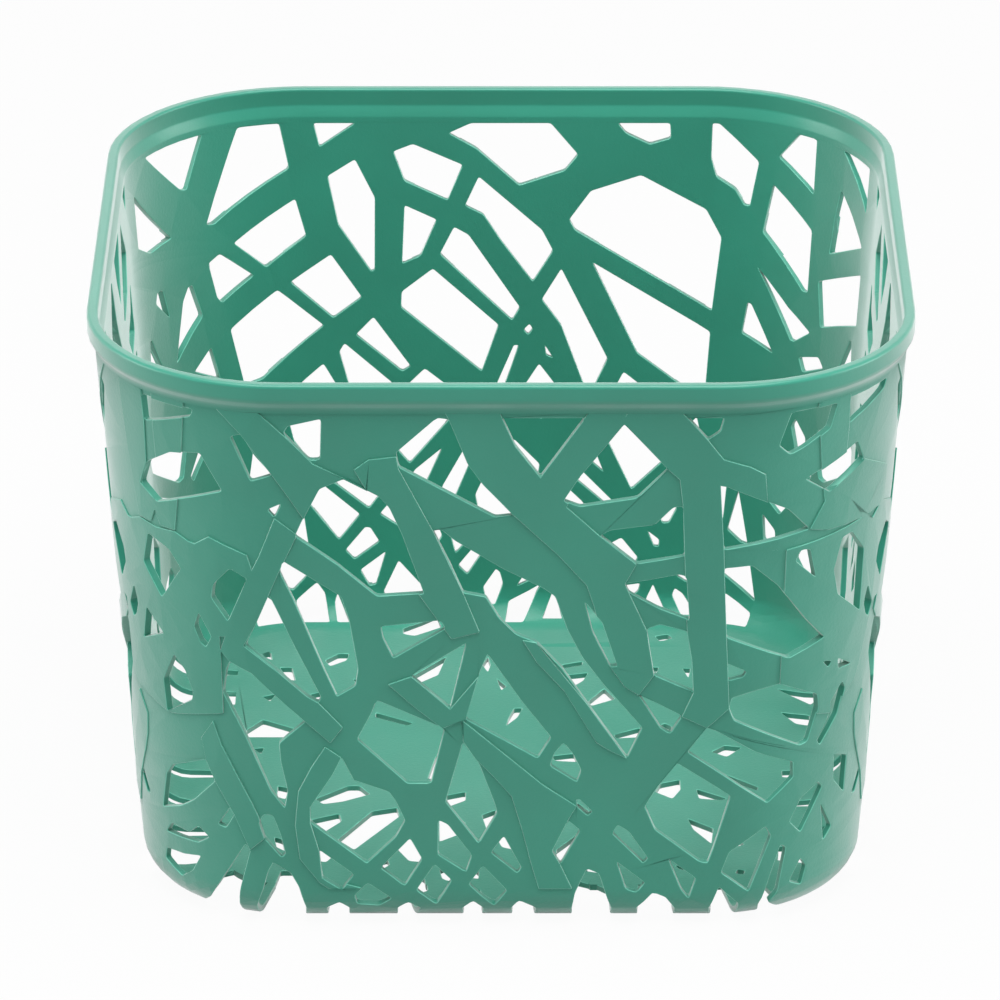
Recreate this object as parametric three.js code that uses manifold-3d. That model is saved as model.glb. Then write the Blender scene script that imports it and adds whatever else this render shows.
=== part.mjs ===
import * as THREE from "three";
import Module from "manifold-3d";
import { mergeVertices } from "three/addons/utils/BufferGeometryUtils.js";

const wasm = await Module();
wasm.setup();
const { Manifold, Mesh } = wasm;

// Overall sizes in millimetres. The basket is square in plan and stands on z = 0.
const WIDTH = 280;
const HEIGHT = 208;
const RIM_CORNER_R = 68;

// The shell
const SHELL = 2.2;
const SLAT_RELIEF = 0.6;
const SLAT_WIDTH = 7;
const WALL_FOOT_INSET = 16.05;
const DRAFT_SHARE = 0.065;
const EDGE_ROUND_R = 14;
const FLOOR_BORDER = 14;

// The rim
const RIM_THICK = 4;
const RIM_LIP_DEPTH = 7;
const RIM_NECK_DEPTH = 11;
const RIM_EASE = 0.8;
const RIM_LEDGE_DEPTH = 6.4;
const RIM_LEDGE_FOOT = 9;

// The openwork
const TOP_BAND = 2;
const BAR_MIN = 2.6;
const NOTCH_RUN = 18;

// Steps of the rounded parts
const CORNER_STEPS = 7;
const EDGE_STEPS = 3;

// Outlines of the openings in the front wall. Each pair is across and up, in hundredths of the side
// pitch and of the openwork height, seen from outside.
const FRONT_SHARES = [
  [[-51, 100], [-50.8, 95], [-43, 98.5], [-42.5, 100]],
  [[-52.7, 82], [-49.4, 79.6], [-38.8, 84.8], [-41.8, 91.6], [-46.4, 90.5], [-51, 86.8]],
  [[-37.3, 95.8], [-34.7, 87.4], [-31.8, 88.8], [-34.2, 92.6], [-35.8, 96.5]],
  [[-25, 99.8], [-29.6, 98.4], [-30.2, 97], [-28.6, 94.6], [-26.6, 91.8], [-25.2, 91.9]],
  [
    [-25.3, 86.2], [-27.9, 79.4], [-28.8, 76.7], [-26.8, 74.8], [-22.9, 71], [-17.4, 64.7],
    [-10.8, 65.3], [-13.8, 77], [-15.6, 82.5], [-17, 84.7], [-21.8, 88.2],
  ],
  [[-32.5, 81.9], [-31.6, 80.4], [-30.7, 83.1]],
  [[-38, 69.7], [-40.6, 66], [-41, 63.2], [-38.6, 59], [-35.6, 68]],
  [[-43.2, 59.6], [-44.1, 56.6], [-43.2, 53.8], [-42.3, 52.9], [-41.3, 55.3]],
  [[-51.8, 72.4], [-53.4, 66], [-49.8, 60.4], [-45.8, 67.6], [-47.8, 70.8]],
  [
    [-30.6, 71.7], [-31, 69.5], [-29.2, 64.3], [-25, 50], [-23.2, 44.4], [-20.6, 46.5],
    [-20.2, 50], [-21.4, 60], [-22.5, 64.6],
  ],
  [
    [-32.6, 64.8], [-34.5, 59], [-36.2, 54.4], [-31.5, 49.5], [-27.5, 44.6], [-25.8, 43.2],
    [-25.5, 44.3], [-29.3, 55], [-31.6, 62],
  ],
  [
    [-38.6, 50.8], [-39.3, 49], [-40, 44.3], [-36.9, 36.5], [-33, 25], [-30.9, 21.5],
    [-30.4, 25], [-31.4, 31], [-31.6, 34.8], [-27.7, 39.3], [-35.4, 48.9],
  ],
  [[-48.2, 49.5], [-50.8, 43.5], [-50.5, 37], [-45.3, 41.2], [-45, 43.2], [-46.2, 47]],
  [
    [-43.4, 29.6], [-47.8, 27.3], [-50.5, 26], [-52.2, 23.5], [-54, 15.8], [-49.5, 17.9],
    [-46.5, 20.2], [-42, 25.6],
  ],
  [[-53.5, 11], [-46, 11.6], [-43.8, 13.3], [-45.8, 15], [-47.8, 13], [-52, 13.3]],
  [[-54.5, 5], [-50.2, 3], [-47.8, 5], [-45.8, 8.8], [-49.4, 7.9], [-53.8, 7.4]],
  [[-42, 16.6], [-40.6, 16.2], [-39, 19.4], [-39.7, 20.6]],
  [[-34.2, 20], [-35, 18.3], [-34.2, 15], [-31.5, 11.2], [-30.9, 12], [-31.7, 16], [-32.8, 19.8]],
  [
    [-22.7, 32], [-24, 28.4], [-27.2, 21.8], [-27.2, 18.5], [-19.2, 10], [-15, 15.5],
    [-13.7, 18.8], [-15, 22.8], [-16, 24.8], [-21, 27.2],
  ],
  [[-26, 12.7], [-25.6, 7], [-22.8, 4.6], [-21.1, 7.6]],
  [[-19.1, 5.8], [-21, 3.2], [-20.6, 1.2], [-17.5, 0.8], [-15.7, 2.6]],
  [[-17.6, 43.6], [-18.4, 40.8], [-20.4, 35.6], [-13.3, 26.6], [-10, 26.6], [-8, 37.8]],
  [
    [-8.9, 100], [-14.6, 93.2], [-14.2, 90.4], [-0.8, 80.5], [1.8, 80.9], [-2.5, 87],
    [-4.6, 91], [-7.2, 99.7],
  ],
  [[0.2, 100], [2, 94.6], [5.5, 88.5], [11.6, 100]],
  [[17.1, 99], [14.8, 95], [11, 88.6], [8.7, 83.8], [11, 82.6], [19, 84.3], [23.3, 90]],
  [
    [-9.5, 77.8], [-7, 70.8], [-5.3, 65.4], [-2.1, 64.6], [-0.2, 60.2], [2, 57.1], [5, 55.4],
    [8.6, 50.2], [12.4, 42.6], [17.9, 31.8], [20, 38], [14.6, 46.6], [11.5, 52.2], [9.3, 58],
    [7.6, 64.6], [6, 66.2], [0.2, 70.2], [-6.5, 75.8], [-8.4, 78],
  ],
  [[11.8, 63.4], [12.9, 57.5], [15.4, 50.5], [16.4, 50.7], [14.2, 59.6]],
  [[13.9, 76.8], [19, 71.2], [25.7, 72.7], [25.4, 82.6], [24.1, 82.4], [21.5, 78.9], [15.2, 77.8]],
  [[17.4, 67.2], [18, 65.4], [22, 62.4], [26.5, 60], [26, 68.6], [25, 69], [20.3, 67.8]],
  [[20.5, 58], [21.6, 48.8], [27.2, 45.3], [26.9, 52], [26.2, 57.6], [22.4, 59]],
  [[19.5, 44.8], [22.6, 38], [24, 36.8], [25.6, 40.4]],
  [[26, 100], [28.8, 95.8], [30.4, 97.3], [30.9, 100]],
  [[30.6, 86.8], [31.2, 74], [43.5, 76.2], [40, 81], [37, 83], [31.4, 86.6]],
  [[31.3, 70.2], [31.8, 56.4], [38.5, 52.5], [41.2, 51], [47.2, 53.4], [43.8, 58], [39, 66], [35.2, 70.5]],
  [[40, 100], [38.4, 93.8], [40, 91.8], [42, 92.8], [45.8, 95.4], [46.8, 100]],
  [[42.5, 86.3], [46.4, 82.7], [53, 86.5], [51.4, 90.6], [48.5, 89.2]],
  [[42.2, 72.4], [41.5, 70.4], [44.9, 66.2], [43.7, 72.2]],
  [[49.5, 72.5], [48.2, 66.5], [49.3, 61.2], [54.8, 55.5], [54.6, 68], [51.4, 72.8]],
  [[-4.9, 55.2], [-12.7, 48.6], [-7.2, 42]],
  [[-1.9, 53], [-3.2, 48.6], [-5, 39.8], [5.2, 31.8], [7.1, 36], [2.9, 43.4]],
  [[-5.4, 35], [-7.9, 22.8], [-3.2, 14.2], [-0.6, 20.4], [-0.7, 21.5], [-3.2, 30.8]],
  [[8.9, 34.9], [7.6, 32.8], [7, 30.2], [10.8, 26.9], [11.4, 29.2], [10.3, 32.4]],
  [[10.8, 23.2], [10.8, 21.8], [12.4, 19.9], [13, 20.7], [11.2, 23.2]],
  [[9.5, 18.9], [7.3, 12.6], [8.5, 9.8], [11.3, 16.8]],
  [[16.6, 17.9], [15.9, 16.2], [20.4, 10], [21, 11], [18.2, 16.6]],
  [[0.4, 15.6], [-1.4, 12.2], [2.3, 8], [2.9, 9]],
  [[-8.9, 18.9], [-9, 11.8], [-5, 8.2], [-4.2, 11.6], [-7.6, 18]],
  [[-13, 15.1], [-17.2, 9], [-13.8, 5.3], [-11.3, 10.8]],
  [[-9.5, 9.7], [-12.1, 4.4], [-9.3, 1.2], [-7.1, 6.4]],
  [[-2.6, 9.4], [-4.6, 5.6], [-1, 0.8], [0.8, 4.3]],
  [[16.6, 10.2], [17.9, 4.6], [19.4, 3.9], [20.6, 5.9]],
  [[24, 10.8], [25.8, 4.6], [26.9, 2.6], [27.9, 6.8]],
  [[38.8, 16.8], [33, 12.2], [31.7, 8], [36.3, 3.7], [39.8, 14.6]],
  [
    [25, 30.7], [22.3, 25.8], [20.5, 21.8], [22, 17], [28.4, 10.4], [29.5, 10], [31, 15.8],
    [32.9, 23.8],
  ],
  [[29.2, 38.1], [26.5, 33], [38.9, 21.7], [43.2, 26], [43, 29.2], [36.8, 32.4], [31, 37]],
  [
    [32.8, 44], [32.4, 42], [33.2, 39.4], [44, 32.3], [45.4, 32.6], [47, 39], [46.6, 42],
    [40.2, 45.9], [36.5, 45.2],
  ],
  [[32, 51], [32.2, 47.6], [34.4, 48.2], [34.8, 49.2]],
  [[47.2, 48.5], [48.4, 46.8], [49, 47.8]],
  [[50.4, 47.8], [50.6, 45.6], [53.6, 45.4]],
  [[51.8, 42.6], [49.4, 39.4], [49.6, 36.4], [47.4, 32.2], [48, 31], [51.4, 36], [52.6, 41]],
  [[48.3, 23.3], [45, 21.2], [43, 16.8], [45.2, 14], [49.2, 22]],
  [[49.2, 18.4], [50.4, 10.4], [52.2, 12.6]],
  [[51.6, 27.6], [51.8, 22.4], [55, 18.5], [55, 26]],
  [[45.6, 8.4], [43.6, 4.2], [46, 2.8], [46.8, 6.5]],
];

// Openings of the front that run down over the rounded bottom edge. The first and last pairs stand on
// the foot line.
const NOTCH_SHARES = [
  [[-39.2, 0], [-38.6, 4], [-36.6, 12.4], [-37.4, 13.4], [-40, 8.5], [-42.3, 4.3], [-44.8, 0]],
  [[-28, 0], [-29, 5], [-30.2, 8], [-32.9, 10.1], [-33.8, 8], [-34.6, 4.6], [-36, 0]],
  [[-21, 0], [-23, 1.6], [-25, 0]],
  [[-11.6, 0], [-13.3, 1.6], [-14.8, 0]],
  [[-2.6, 0], [-4, 1.9], [-5.5, 0]],
  [[5, 0], [2.6, 2], [1.5, 0]],
  [[15.8, 0], [14, 7.8], [12.3, 8.8], [10.6, 3.6], [10.2, 0]],
  [[24.9, 0], [23.6, 2.8], [21.8, 3.8], [19.5, 0]],
  [[34.8, 0], [34.7, 1], [31.4, 5], [29.9, 0]],
  [[40.2, 0], [41.4, 2.6], [42.6, 11.6], [41.6, 12.4], [40, 6.5], [38.4, 0]],
];

// Outlines of the openings in the upper part of the back wall, seen from inside
const BACK_SHARES = [
  [[-58.2, 100], [-50.6, 90.5], [-49.4, 90], [-46, 100]],
  [[-63.3, 94.7], [-63.3, 84], [-59, 81], [-53.2, 81.6]],
  [[-40.1, 100], [-46, 81.8], [-44.7, 81.6], [-32.5, 91], [-33.8, 100]],
  [[-28.7, 100], [-27.8, 95.3], [-22.4, 100]],
  [[-31.6, 84.7], [-41.4, 76.9], [-36.3, 71.2], [-30, 77.2]],
  [[-46, 73.9], [-44.7, 66.6], [-43.9, 65.4], [-38.4, 69.8], [-43.9, 75.3]],
  [[-34.6, 66.3], [-42.6, 59.5], [-40.5, 47.5], [-37.3, 48.5], [-27.4, 58.9]],
  [[-26.2, 73.4], [-32.5, 67.8], [-25.9, 60.5], [-21.5, 64.7]],
  [[-26.6, 89.3], [-25, 79.5], [-20, 70], [-19.5, 70.3], [-19.4, 85], [-22.4, 92.7]],
  [[-16.5, 94.3], [-14.8, 88.4], [-8.2, 84.5], [-5.9, 91.6], [-13.5, 95.8]],
  [[-14.8, 83.4], [-15.2, 71.6], [-12.4, 73.2], [-9.9, 80.5]],
  [[-8, 98], [-3.8, 95], [2.8, 87.5], [9.8, 90.5], [11.8, 93.7], [7.6, 100], [-4.6, 100]],
  [[-3.4, 89.2], [-5.5, 83.4], [-2.7, 81.6], [0, 76.3], [4.9, 67.9], [8, 74.2], [6.3, 78.4]],
  [[-7.2, 79], [-9.4, 73.5], [1.7, 60], [2.9, 62.6], [-5, 77.4]],
  [[-10.5, 70.5], [-15.3, 65.8], [-15.4, 62.6], [-3, 49.5], [-0.4, 59]],
  [[-19.7, 60.6], [-22.4, 57], [-15.3, 49.5], [-14, 50.5]],
  [[-24.2, 55.2], [-25, 53.5], [-23.4, 46], [-20, 43.4], [-16.8, 47]],
  [[-27.4, 51], [-32.6, 45], [-29, 39.6], [-26.2, 46]],
  [[-11.8, 50], [-15.4, 44], [-12, 40.6], [-7.8, 46]],
  [[17.9, 100], [19.2, 98], [22.8, 95.8], [26, 97], [25.9, 100]],
  [[21.5, 89.5], [13.8, 86.3], [10.5, 80.5], [11.4, 78.4], [32.6, 62], [33.9, 77], [31.5, 82.6]],
  [[14.1, 71.8], [21.1, 53.2], [29.6, 45], [31.6, 43.6], [32.4, 57.6]],
  [[9.3, 70.5], [6.3, 64.2], [9.3, 59], [12.6, 47.5], [13.8, 44.2], [14.8, 47.5], [16.5, 52]],
  [[4.4, 59.2], [3.5, 58], [4.2, 57], [4.9, 58.2]],
  [[6.8, 54.8], [7, 52.8], [8, 52.3]],
  [[2.7, 54.8], [2, 54.8], [-1.6, 44], [-0.4, 43.4], [1.4, 49.8]],
  [[5.9, 51], [3.4, 46], [5.8, 40.6], [9.4, 45]],
  [[19, 49.3], [17.6, 44.6], [19.4, 39.4], [23.6, 44.6]],
  [[32.3, 100], [32.2, 93], [33, 89.3], [35.9, 87], [37.4, 84], [38.2, 84], [39.4, 93], [33.3, 100]],
  [[45.8, 100], [42.6, 94.7], [49, 89], [49, 100]],
  [[41.9, 88.9], [40.5, 79], [48, 69], [49, 69], [49.1, 81.6]],
  [[40, 71.5], [46.2, 58.4], [46.9, 58.3], [50, 61], [45.5, 64.7]],
  [[38.4, 64.2], [37.6, 57.9], [43, 54.8], [39, 64]],
  [[54.8, 100], [63, 91], [63, 100]],
  [[54.9, 92], [54, 87], [53.2, 78.4], [62.4, 83.7]],
  [[51.2, 72], [52.3, 63], [63, 68], [63, 78.4]],
  [[48.1, 55.3], [49, 52.6], [53.6, 55], [52.3, 56.8]],
  [[-50.2, 70.5], [-51.5, 68], [-54, 56.3], [-47.7, 63.7], [-49.4, 70.5]],
  [[-46.4, 56.8], [-50, 53], [-45, 50]],
];

// Slits through the floor. Each pair is across and back, in hundredths of the floor's half width.
const FLOOR_SHARES = [
  [[-68, -31], [-65, -35], [-58, -33], [-48, -27], [-52, -20], [-56, -20]],
  [[-69, -48], [-65, -59], [-58, -49], [-59, -43]],
  [[-59, -64], [-53, -72], [-37, -45], [-38, -38], [-47, -41]],
  [[-20, -28], [-19, -37], [-13, -32], [-13, -25]],
  [[-7, -44], [-5, -56], [-2, -48], [-2, -40]],
  [[-22, -54], [-23, -66], [-21, -74], [-15, -67], [-19, -56]],
  [[-38, -77], [-32, -88], [-29, -80], [-32, -67]],
  [[-65, -75], [-63, -87], [-60, -82]],
  [[-82, -62], [-81, -70], [-78, -73], [-79, -64]],
  [[-82, -20], [-82, -29], [-79, -31], [-78, -22]],
  [[58, -16], [58, -27], [66, -31], [65, -17]],
  [[72, -20], [72, -31], [82, -41], [83, -31]],
  [[68, -47], [70, -56], [76, -67], [77, -55]],
  [[28, -34], [28, -40], [32, -47], [32, -41]],
  [[20, -72], [20, -84], [25, -71], [27, -61]],
  [[1, -66], [-1, -70], [-1, -75], [4, -78]],
  [[40, -58], [46, -71], [48, -68], [42, -56]],
  [[48, -84], [53, -88], [54, -78]],
  [[-95, 27], [-95, 21], [-80, 21], [-77, 28], [-89, 36]],
  [[-83, 83], [-82, 74], [-77, 70], [-79, 85]],
  [[-67, 88], [-65, 83], [-59, 88], [-58, 94], [-62, 94]],
  [[-72, 58], [-70, 53], [-67, 52], [-68, 60]],
  [[-35, 72], [-31, 68], [-24, 75], [-21, 91]],
  [[-7, 84], [-5, 78], [-4, 84], [-5, 91]],
  [[-10, 52], [-7, 52], [-4, 70], [-6, 70]],
  [[2, 31], [6, 38], [8, 46], [5, 46], [3, 38]],
  [[-47, 42], [-47, 38], [-35, 31], [-33, 33]],
  [[23, 84], [24, 81], [31, 84], [31, 87]],
  [[25, 75], [26, 70], [28, 66], [31, 70], [33, 77]],
  [[33, 52], [34, 48], [43, 54], [39, 63]],
  [[42, 23], [43, 20], [52, 21], [52, 29]],
  [[59, 30], [62, 22], [64, 30], [61, 33]],
  [[57, 82], [59, 77], [60, 82]],
  [[69, 81], [71, 73], [72, 81]],
  [[19, 5], [20, 1], [28, 0], [27, 7]],
  [[-27, -14], [-25, -14], [-22, 5], [-24, 5]],
  [[-92, 11], [-89, 7], [-88, 12]],
  [[-90, 56], [-87, 52], [-85, 58]],
  [[77, 10], [80, 4], [86, 8], [91, 13], [82, 14]],
  [[89, 0], [89, -6], [95, -6], [94, 3]],
];

// Edge lines of the raised slats, seen from outside
const SLAT_SHARES = [
  [[-36, 104], [-28.7, 94.6], [-22, 85]],
  [[-14.3, 90], [-9.8, 77.5], [-5, 62]],
  [[2, 80], [11, 70], [12.5, 63]],
  [[9.5, 82], [14, 77], [22, 70]],
  [[3, 52], [10, 42], [13.6, 35]],
  [[-4.5, 39], [9, 23.5], [14.5, 17.5]],
  [[-3.5, 31], [0.5, 27], [2, 22], [4.8, 5]],
  [[-16, 45], [-10, 39.5]],
  [[-13.5, 26], [-11.5, 20]],
  [[-42, 35], [-38, 26], [-35, 20]],
  [[-25.5, 33], [-29.5, 25], [-29.5, 15], [-28, 9], [-24, 4]],
  [[28.7, 95.8], [31.5, 91.5], [36, 88.5]],
  [[18.5, 20], [21.5, 10]],
  [[-44, 75], [-35.5, 72.5]],
];

const HUNDRED = 100;
const SNAP_SHARE = 1e-3;
const WELD_SHARE = 2e-3;
const HALF_TURN_SHARE = 0.5;
const QUARTER = Math.PI / 2;

// Derived sizes
const RIM_HALF = WIDTH / 2;
const CENTRE = RIM_HALF - RIM_CORNER_R;
const CORNER_RUN = (RIM_CORNER_R - WALL_FOOT_INSET / 2) * QUARTER;
const PITCH = 2 * CENTRE + CORNER_RUN;
const SIDES = 4;
const DRAFT = Math.atan(DRAFT_SHARE);
const WALL_FOOT = RIM_HALF - WALL_FOOT_INSET;
const EDGE_CENTRE = WALL_FOOT + DRAFT_SHARE * EDGE_ROUND_R - EDGE_ROUND_R / Math.cos(DRAFT);
const EDGE_TURN = QUARTER - DRAFT;
const EDGE_RUN = EDGE_ROUND_R * EDGE_TURN;
const EDGE_TOP = EDGE_ROUND_R * (1 - Math.cos(EDGE_TURN));
const WALL_TOP = HEIGHT - RIM_NECK_DEPTH;
const PATH_TOP = EDGE_RUN + (WALL_TOP - EDGE_TOP) / Math.cos(DRAFT);
const OPENWORK_TOP = PATH_TOP - TOP_BAND;
const FOOT_LINE = EDGE_RUN - EDGE_ROUND_R * HALF_TURN_SHARE;
const OPENWORK_RUN = OPENWORK_TOP - FOOT_LINE;
const FLOOR_HALF = EDGE_CENTRE - FLOOR_BORDER;

// A geometry as a solid that can be joined and cut
function solid(geometry) {
  const bare = new THREE.BufferGeometry();
  bare.setAttribute("position", geometry.getAttribute("position"));
  if (geometry.index) {
    bare.setIndex(geometry.index);
  }
  const merged = mergeVertices(bare, 1e-4);
  return new Manifold(
    new Mesh({
      numProp: 3,
      vertProperties: new Float32Array(merged.attributes.position.array),
      triVerts: new Uint32Array(merged.index.array),
    }),
  );
}

// A prism over an outline, from one level to another
function prism(points, low, high) {
  const shape = new THREE.Shape(points.map(([x, y]) => new THREE.Vector2(x, y)));
  const geometry = new THREE.ExtrudeGeometry(shape, { depth: high - low, bevelEnabled: false });
  geometry.translate(0, 0, low);
  return solid(geometry);
}

// A box between two corners
function block(x0, x1, y0, y1, z0, z1) {
  const geometry = new THREE.BoxGeometry(x1 - x0, y1 - y0, z1 - z0);
  geometry.translate((x0 + x1) / 2, (y0 + y1) / 2, (z0 + z1) / 2);
  return solid(geometry);
}

// The walls are laid out flat as a strip: x runs round the basket, y follows the section from the floor
// up to the rim, and z is the distance out of the outer face.
function place([across, up], side) {
  return [(across / HUNDRED + side) * PITCH, FOOT_LINE + (up / HUNDRED) * OPENWORK_RUN];
}

// An outline seen from the other face
function mirrored(outline) {
  return outline.map(([across, up]) => [-across, up]).reverse();
}

// A notch carried down over the bottom edge
function lowered(outline) {
  const last = outline[outline.length - 1];
  const foot = (-NOTCH_RUN / OPENWORK_RUN) * HUNDRED;
  return [...outline, [last[0], foot], [outline[0][0], foot]];
}

// The distance from a point to a line between two points
function reach(point, a, b) {
  const run = [b[0] - a[0], b[1] - a[1]];
  const length = run[0] * run[0] + run[1] * run[1];
  const along = ((point[0] - a[0]) * run[0] + (point[1] - a[1]) * run[1]) / length;
  const t = Math.min(1, Math.max(0, along));
  return Math.hypot(point[0] - a[0] - t * run[0], point[1] - a[1] - t * run[1]);
}

// Whether a point is inside an outline
function inside(point, outline) {
  let odd = false;
  outline.forEach((a, i) => {
    const b = outline[(i + 1) % outline.length];
    const spans = a[1] > point[1] !== b[1] > point[1];
    if (spans && point[0] < a[0] + ((point[1] - a[1]) * (b[0] - a[0])) / (b[1] - a[1])) {
      odd = !odd;
    }
  });
  return odd;
}

// Whether two openings leave a bar between them
function clears(one, other) {
  const near = (from, to) =>
    from.some((point) => inside(point, to)
      || to.some((a, i) => reach(point, a, to[(i + 1) % to.length]) < BAR_MIN));
  return !near(one, other) && !near(other, one);
}

// Adds the openings that keep clear of those already there
function addClear(kept, extra) {
  for (const outline of extra) {
    if (kept.every((other) => clears(outline, other))) {
      kept.push(outline);
    }
  }
}

const frontAll = [...FRONT_SHARES, ...NOTCH_SHARES.map(lowered)];
const seamSpan = SIDES * PITCH;
const openings = [];
const put = (outlines, side) => outlines.map((outline) => outline.map((pair) => place(pair, side)));
const wrapped = (outlines) => {
  const shifted = (by) => outlines.map((outline) => outline.map(([x, y]) => [x + by, y]));
  return [...outlines, ...shifted(-seamSpan), ...shifted(seamSpan)];
};
addClear(openings, wrapped(put(frontAll, 0)));
addClear(openings, wrapped(put(BACK_SHARES.map(mirrored), 2)));
addClear(openings, wrapped(put(frontAll.map(mirrored), 2)));
addClear(openings, wrapped(put(frontAll, 1)));
addClear(openings, wrapped(put(frontAll.map(mirrored), 3)));
addClear(openings, wrapped(put(BACK_SHARES, 1)));
addClear(openings, wrapped(put(BACK_SHARES.map(mirrored), 3)));

// A raised strip beside an edge line
function strip(line) {
  const beside = line.map((point, i) => {
    const a = line[Math.max(0, i - 1)];
    const b = line[Math.min(line.length - 1, i + 1)];
    const length = Math.hypot(b[0] - a[0], b[1] - a[1]);
    const out = [(b[1] - a[1]) / length, (a[0] - b[0]) / length];
    return [point[0] + SLAT_WIDTH * out[0], point[1] + SLAT_WIDTH * out[1]];
  });
  return [...line, ...beside.reverse()];
}

// The strip, laid flat from the middle of one corner's start to the same line one turn on
const stripStart = -CENTRE - CORNER_RUN;
const stripEnd = stripStart + seamSpan;
const wallBand = block(stripStart, stripEnd, EDGE_RUN, PATH_TOP - TOP_BAND, -SHELL, SLAT_RELIEF);
const slats = [];
for (let side = -1; side < SIDES; side += 1) {
  for (const line of SLAT_SHARES) {
    slats.push(prism(strip(line.map((pair) => place(pair, side))), -SHELL, SLAT_RELIEF));
  }
}
const raised = Manifold.union(slats).intersect(wallBand);
const holes = openings
  .filter((outline) => outline.some(([x]) => x > stripStart && x < stripEnd))
  .map((outline) => prism(outline, -SHELL - SHELL, SHELL));
const sheet = block(stripStart, stripEnd, -FLOOR_BORDER, PATH_TOP, -SHELL, 0);
const openwork = sheet.add(raised).subtract(Manifold.union(holes));

// Zones of the strip, each of which becomes a part
const SIDE_NAMES = ["front", "right", "back", "left"];
const CORNER_NAMES = ["front_left_corner", "front_right_corner", "back_right_corner", "back_left_corner"];
const zones = [];
for (let side = 0; side < SIDES; side += 1) {
  const middle = side * PITCH;
  const corner = [middle - CENTRE - CORNER_RUN, middle - CENTRE];
  const flat = [middle - CENTRE, middle + CENTRE];
  zones.push({ name: CORNER_NAMES[side], x: corner, y: [EDGE_RUN, PATH_TOP] });
  zones.push({ name: SIDE_NAMES[side] + "_wall", x: flat, y: [EDGE_RUN, PATH_TOP] });
  zones.push({ name: CORNER_NAMES[side] + "_foot", x: corner, y: [-FLOOR_BORDER, EDGE_RUN] });
  zones.push({ name: SIDE_NAMES[side] + "_foot", x: flat, y: [-FLOOR_BORDER, EDGE_RUN] });
}

// Each zone keeps its largest body. Loose ends that a zone line cuts off go to the zone they touch.
let loose = [];
for (const zone of zones) {
  const box = block(...zone.x, ...zone.y, -SHELL - SHELL, SHELL);
  const bodies = openwork.intersect(box).decompose();
  bodies.sort((a, b) => b.volume() - a.volume());
  zone.body = bodies[0];
  loose.push(...bodies.slice(1));
}
const touches = (body, other) => body.add(other).decompose().length === 1;
for (let round = 0; round < SIDES && loose.length > 0; round += 1) {
  const left = [];
  for (const piece of loose) {
    const turns = [0, seamSpan, -seamSpan].map((by) => piece.translate([by, 0, 0]));
    let home = null;
    for (const turned of turns) {
      home = home || zones.find((zone) => {
        const joins = touches(zone.body, turned);
        if (joins) {
          zone.body = zone.body.add(turned);
        }
        return joins;
      });
    }
    if (!home) {
      left.push(piece);
    }
  }
  loose = left;
}

// The point of the section at a distance along the path, and the way out of its outer face
function section(s) {
  if (s <= 0) {
    return { a: EDGE_CENTRE + s, z: 0, out: [0, -1] };
  }
  const at = (turn) => ({
    a: EDGE_CENTRE + EDGE_ROUND_R * Math.sin(turn),
    z: EDGE_ROUND_R * (1 - Math.cos(turn)),
    out: [Math.sin(turn), -Math.cos(turn)],
  });
  if (s >= EDGE_RUN) {
    const end = at(EDGE_TURN);
    const up = s - EDGE_RUN;
    return { a: end.a + up * Math.sin(DRAFT), z: end.z + up * Math.cos(DRAFT), out: end.out };
  }
  const step = Math.min(EDGE_STEPS - 1, Math.floor((s / EDGE_RUN) * EDGE_STEPS));
  const t = (s / EDGE_RUN) * EDGE_STEPS - step;
  const low = at((EDGE_TURN * step) / EDGE_STEPS);
  const high = at((EDGE_TURN * (step + 1)) / EDGE_STEPS);
  const mix = (p, q) => p + (q - p) * t;
  return { a: mix(low.a, high.a), z: mix(low.z, high.z), out: low.out.map((v, i) => mix(v, high.out[i])) };
}

// Where a line round the basket stands, at a half width
function around(x, half) {
  const side = Math.floor((x + CENTRE) / PITCH);
  const local = x - side * PITCH;
  let point = [local, -half];
  if (local > CENTRE) {
    const f = Math.min(CORNER_STEPS, ((local - CENTRE) / CORNER_RUN) * CORNER_STEPS);
    const step = Math.min(CORNER_STEPS - 1, Math.floor(f));
    const t = f - step;
    const low = (QUARTER * step) / CORNER_STEPS;
    const high = (QUARTER * (step + 1)) / CORNER_STEPS;
    const way = [
      Math.sin(low) * (1 - t) + Math.sin(high) * t,
      -Math.cos(low) * (1 - t) - Math.cos(high) * t,
    ];
    point = [CENTRE + (half - CENTRE) * way[0], -CENTRE + (half - CENTRE) * way[1]];
  }
  const turn = ((side % SIDES) + SIDES) % SIDES;
  for (let i = 0; i < turn; i += 1) {
    point = [-point[1], point[0]];
  }
  return point;
}

// The lines along which the flat strip bends: inside the corners and the bottom edge, and where zones meet
const bendsX = [];
const seamsX = [];
for (let side = -1; side <= SIDES; side += 1) {
  const start = side * PITCH + CENTRE;
  seamsX.push(start, start + CORNER_RUN);
  for (let step = 1; step < CORNER_STEPS; step += 1) {
    bendsX.push(start + (CORNER_RUN * step) / CORNER_STEPS);
  }
}
const bendsY = [];
for (let step = 0; step < EDGE_STEPS; step += 1) {
  bendsY.push((EDGE_RUN * step) / EDGE_STEPS);
}

// A flat body cut into the cells between the bends
function cells(body) {
  let parts = [body];
  const slice = (normal, at, axis) => {
    parts = parts.flatMap((part) => {
      const { min, max } = part.boundingBox();
      const spans = min[axis] < at && max[axis] > at;
      return spans ? part.splitByPlane(normal, at) : [part];
    });
  };
  for (const at of bendsX) {
    slice([1, 0, 0], at, 0);
  }
  for (const at of bendsY) {
    slice([0, 1, 0], at, 1);
  }
  return parts.filter((part) => !part.isEmpty());
}

// Whether a face lies on a bend, where the cell beyond it goes on
function onBend(face, axis, bends) {
  return bends.some((at) => face.every((point) => Math.abs(point[axis] - at) < SNAP_SHARE));
}

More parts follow.
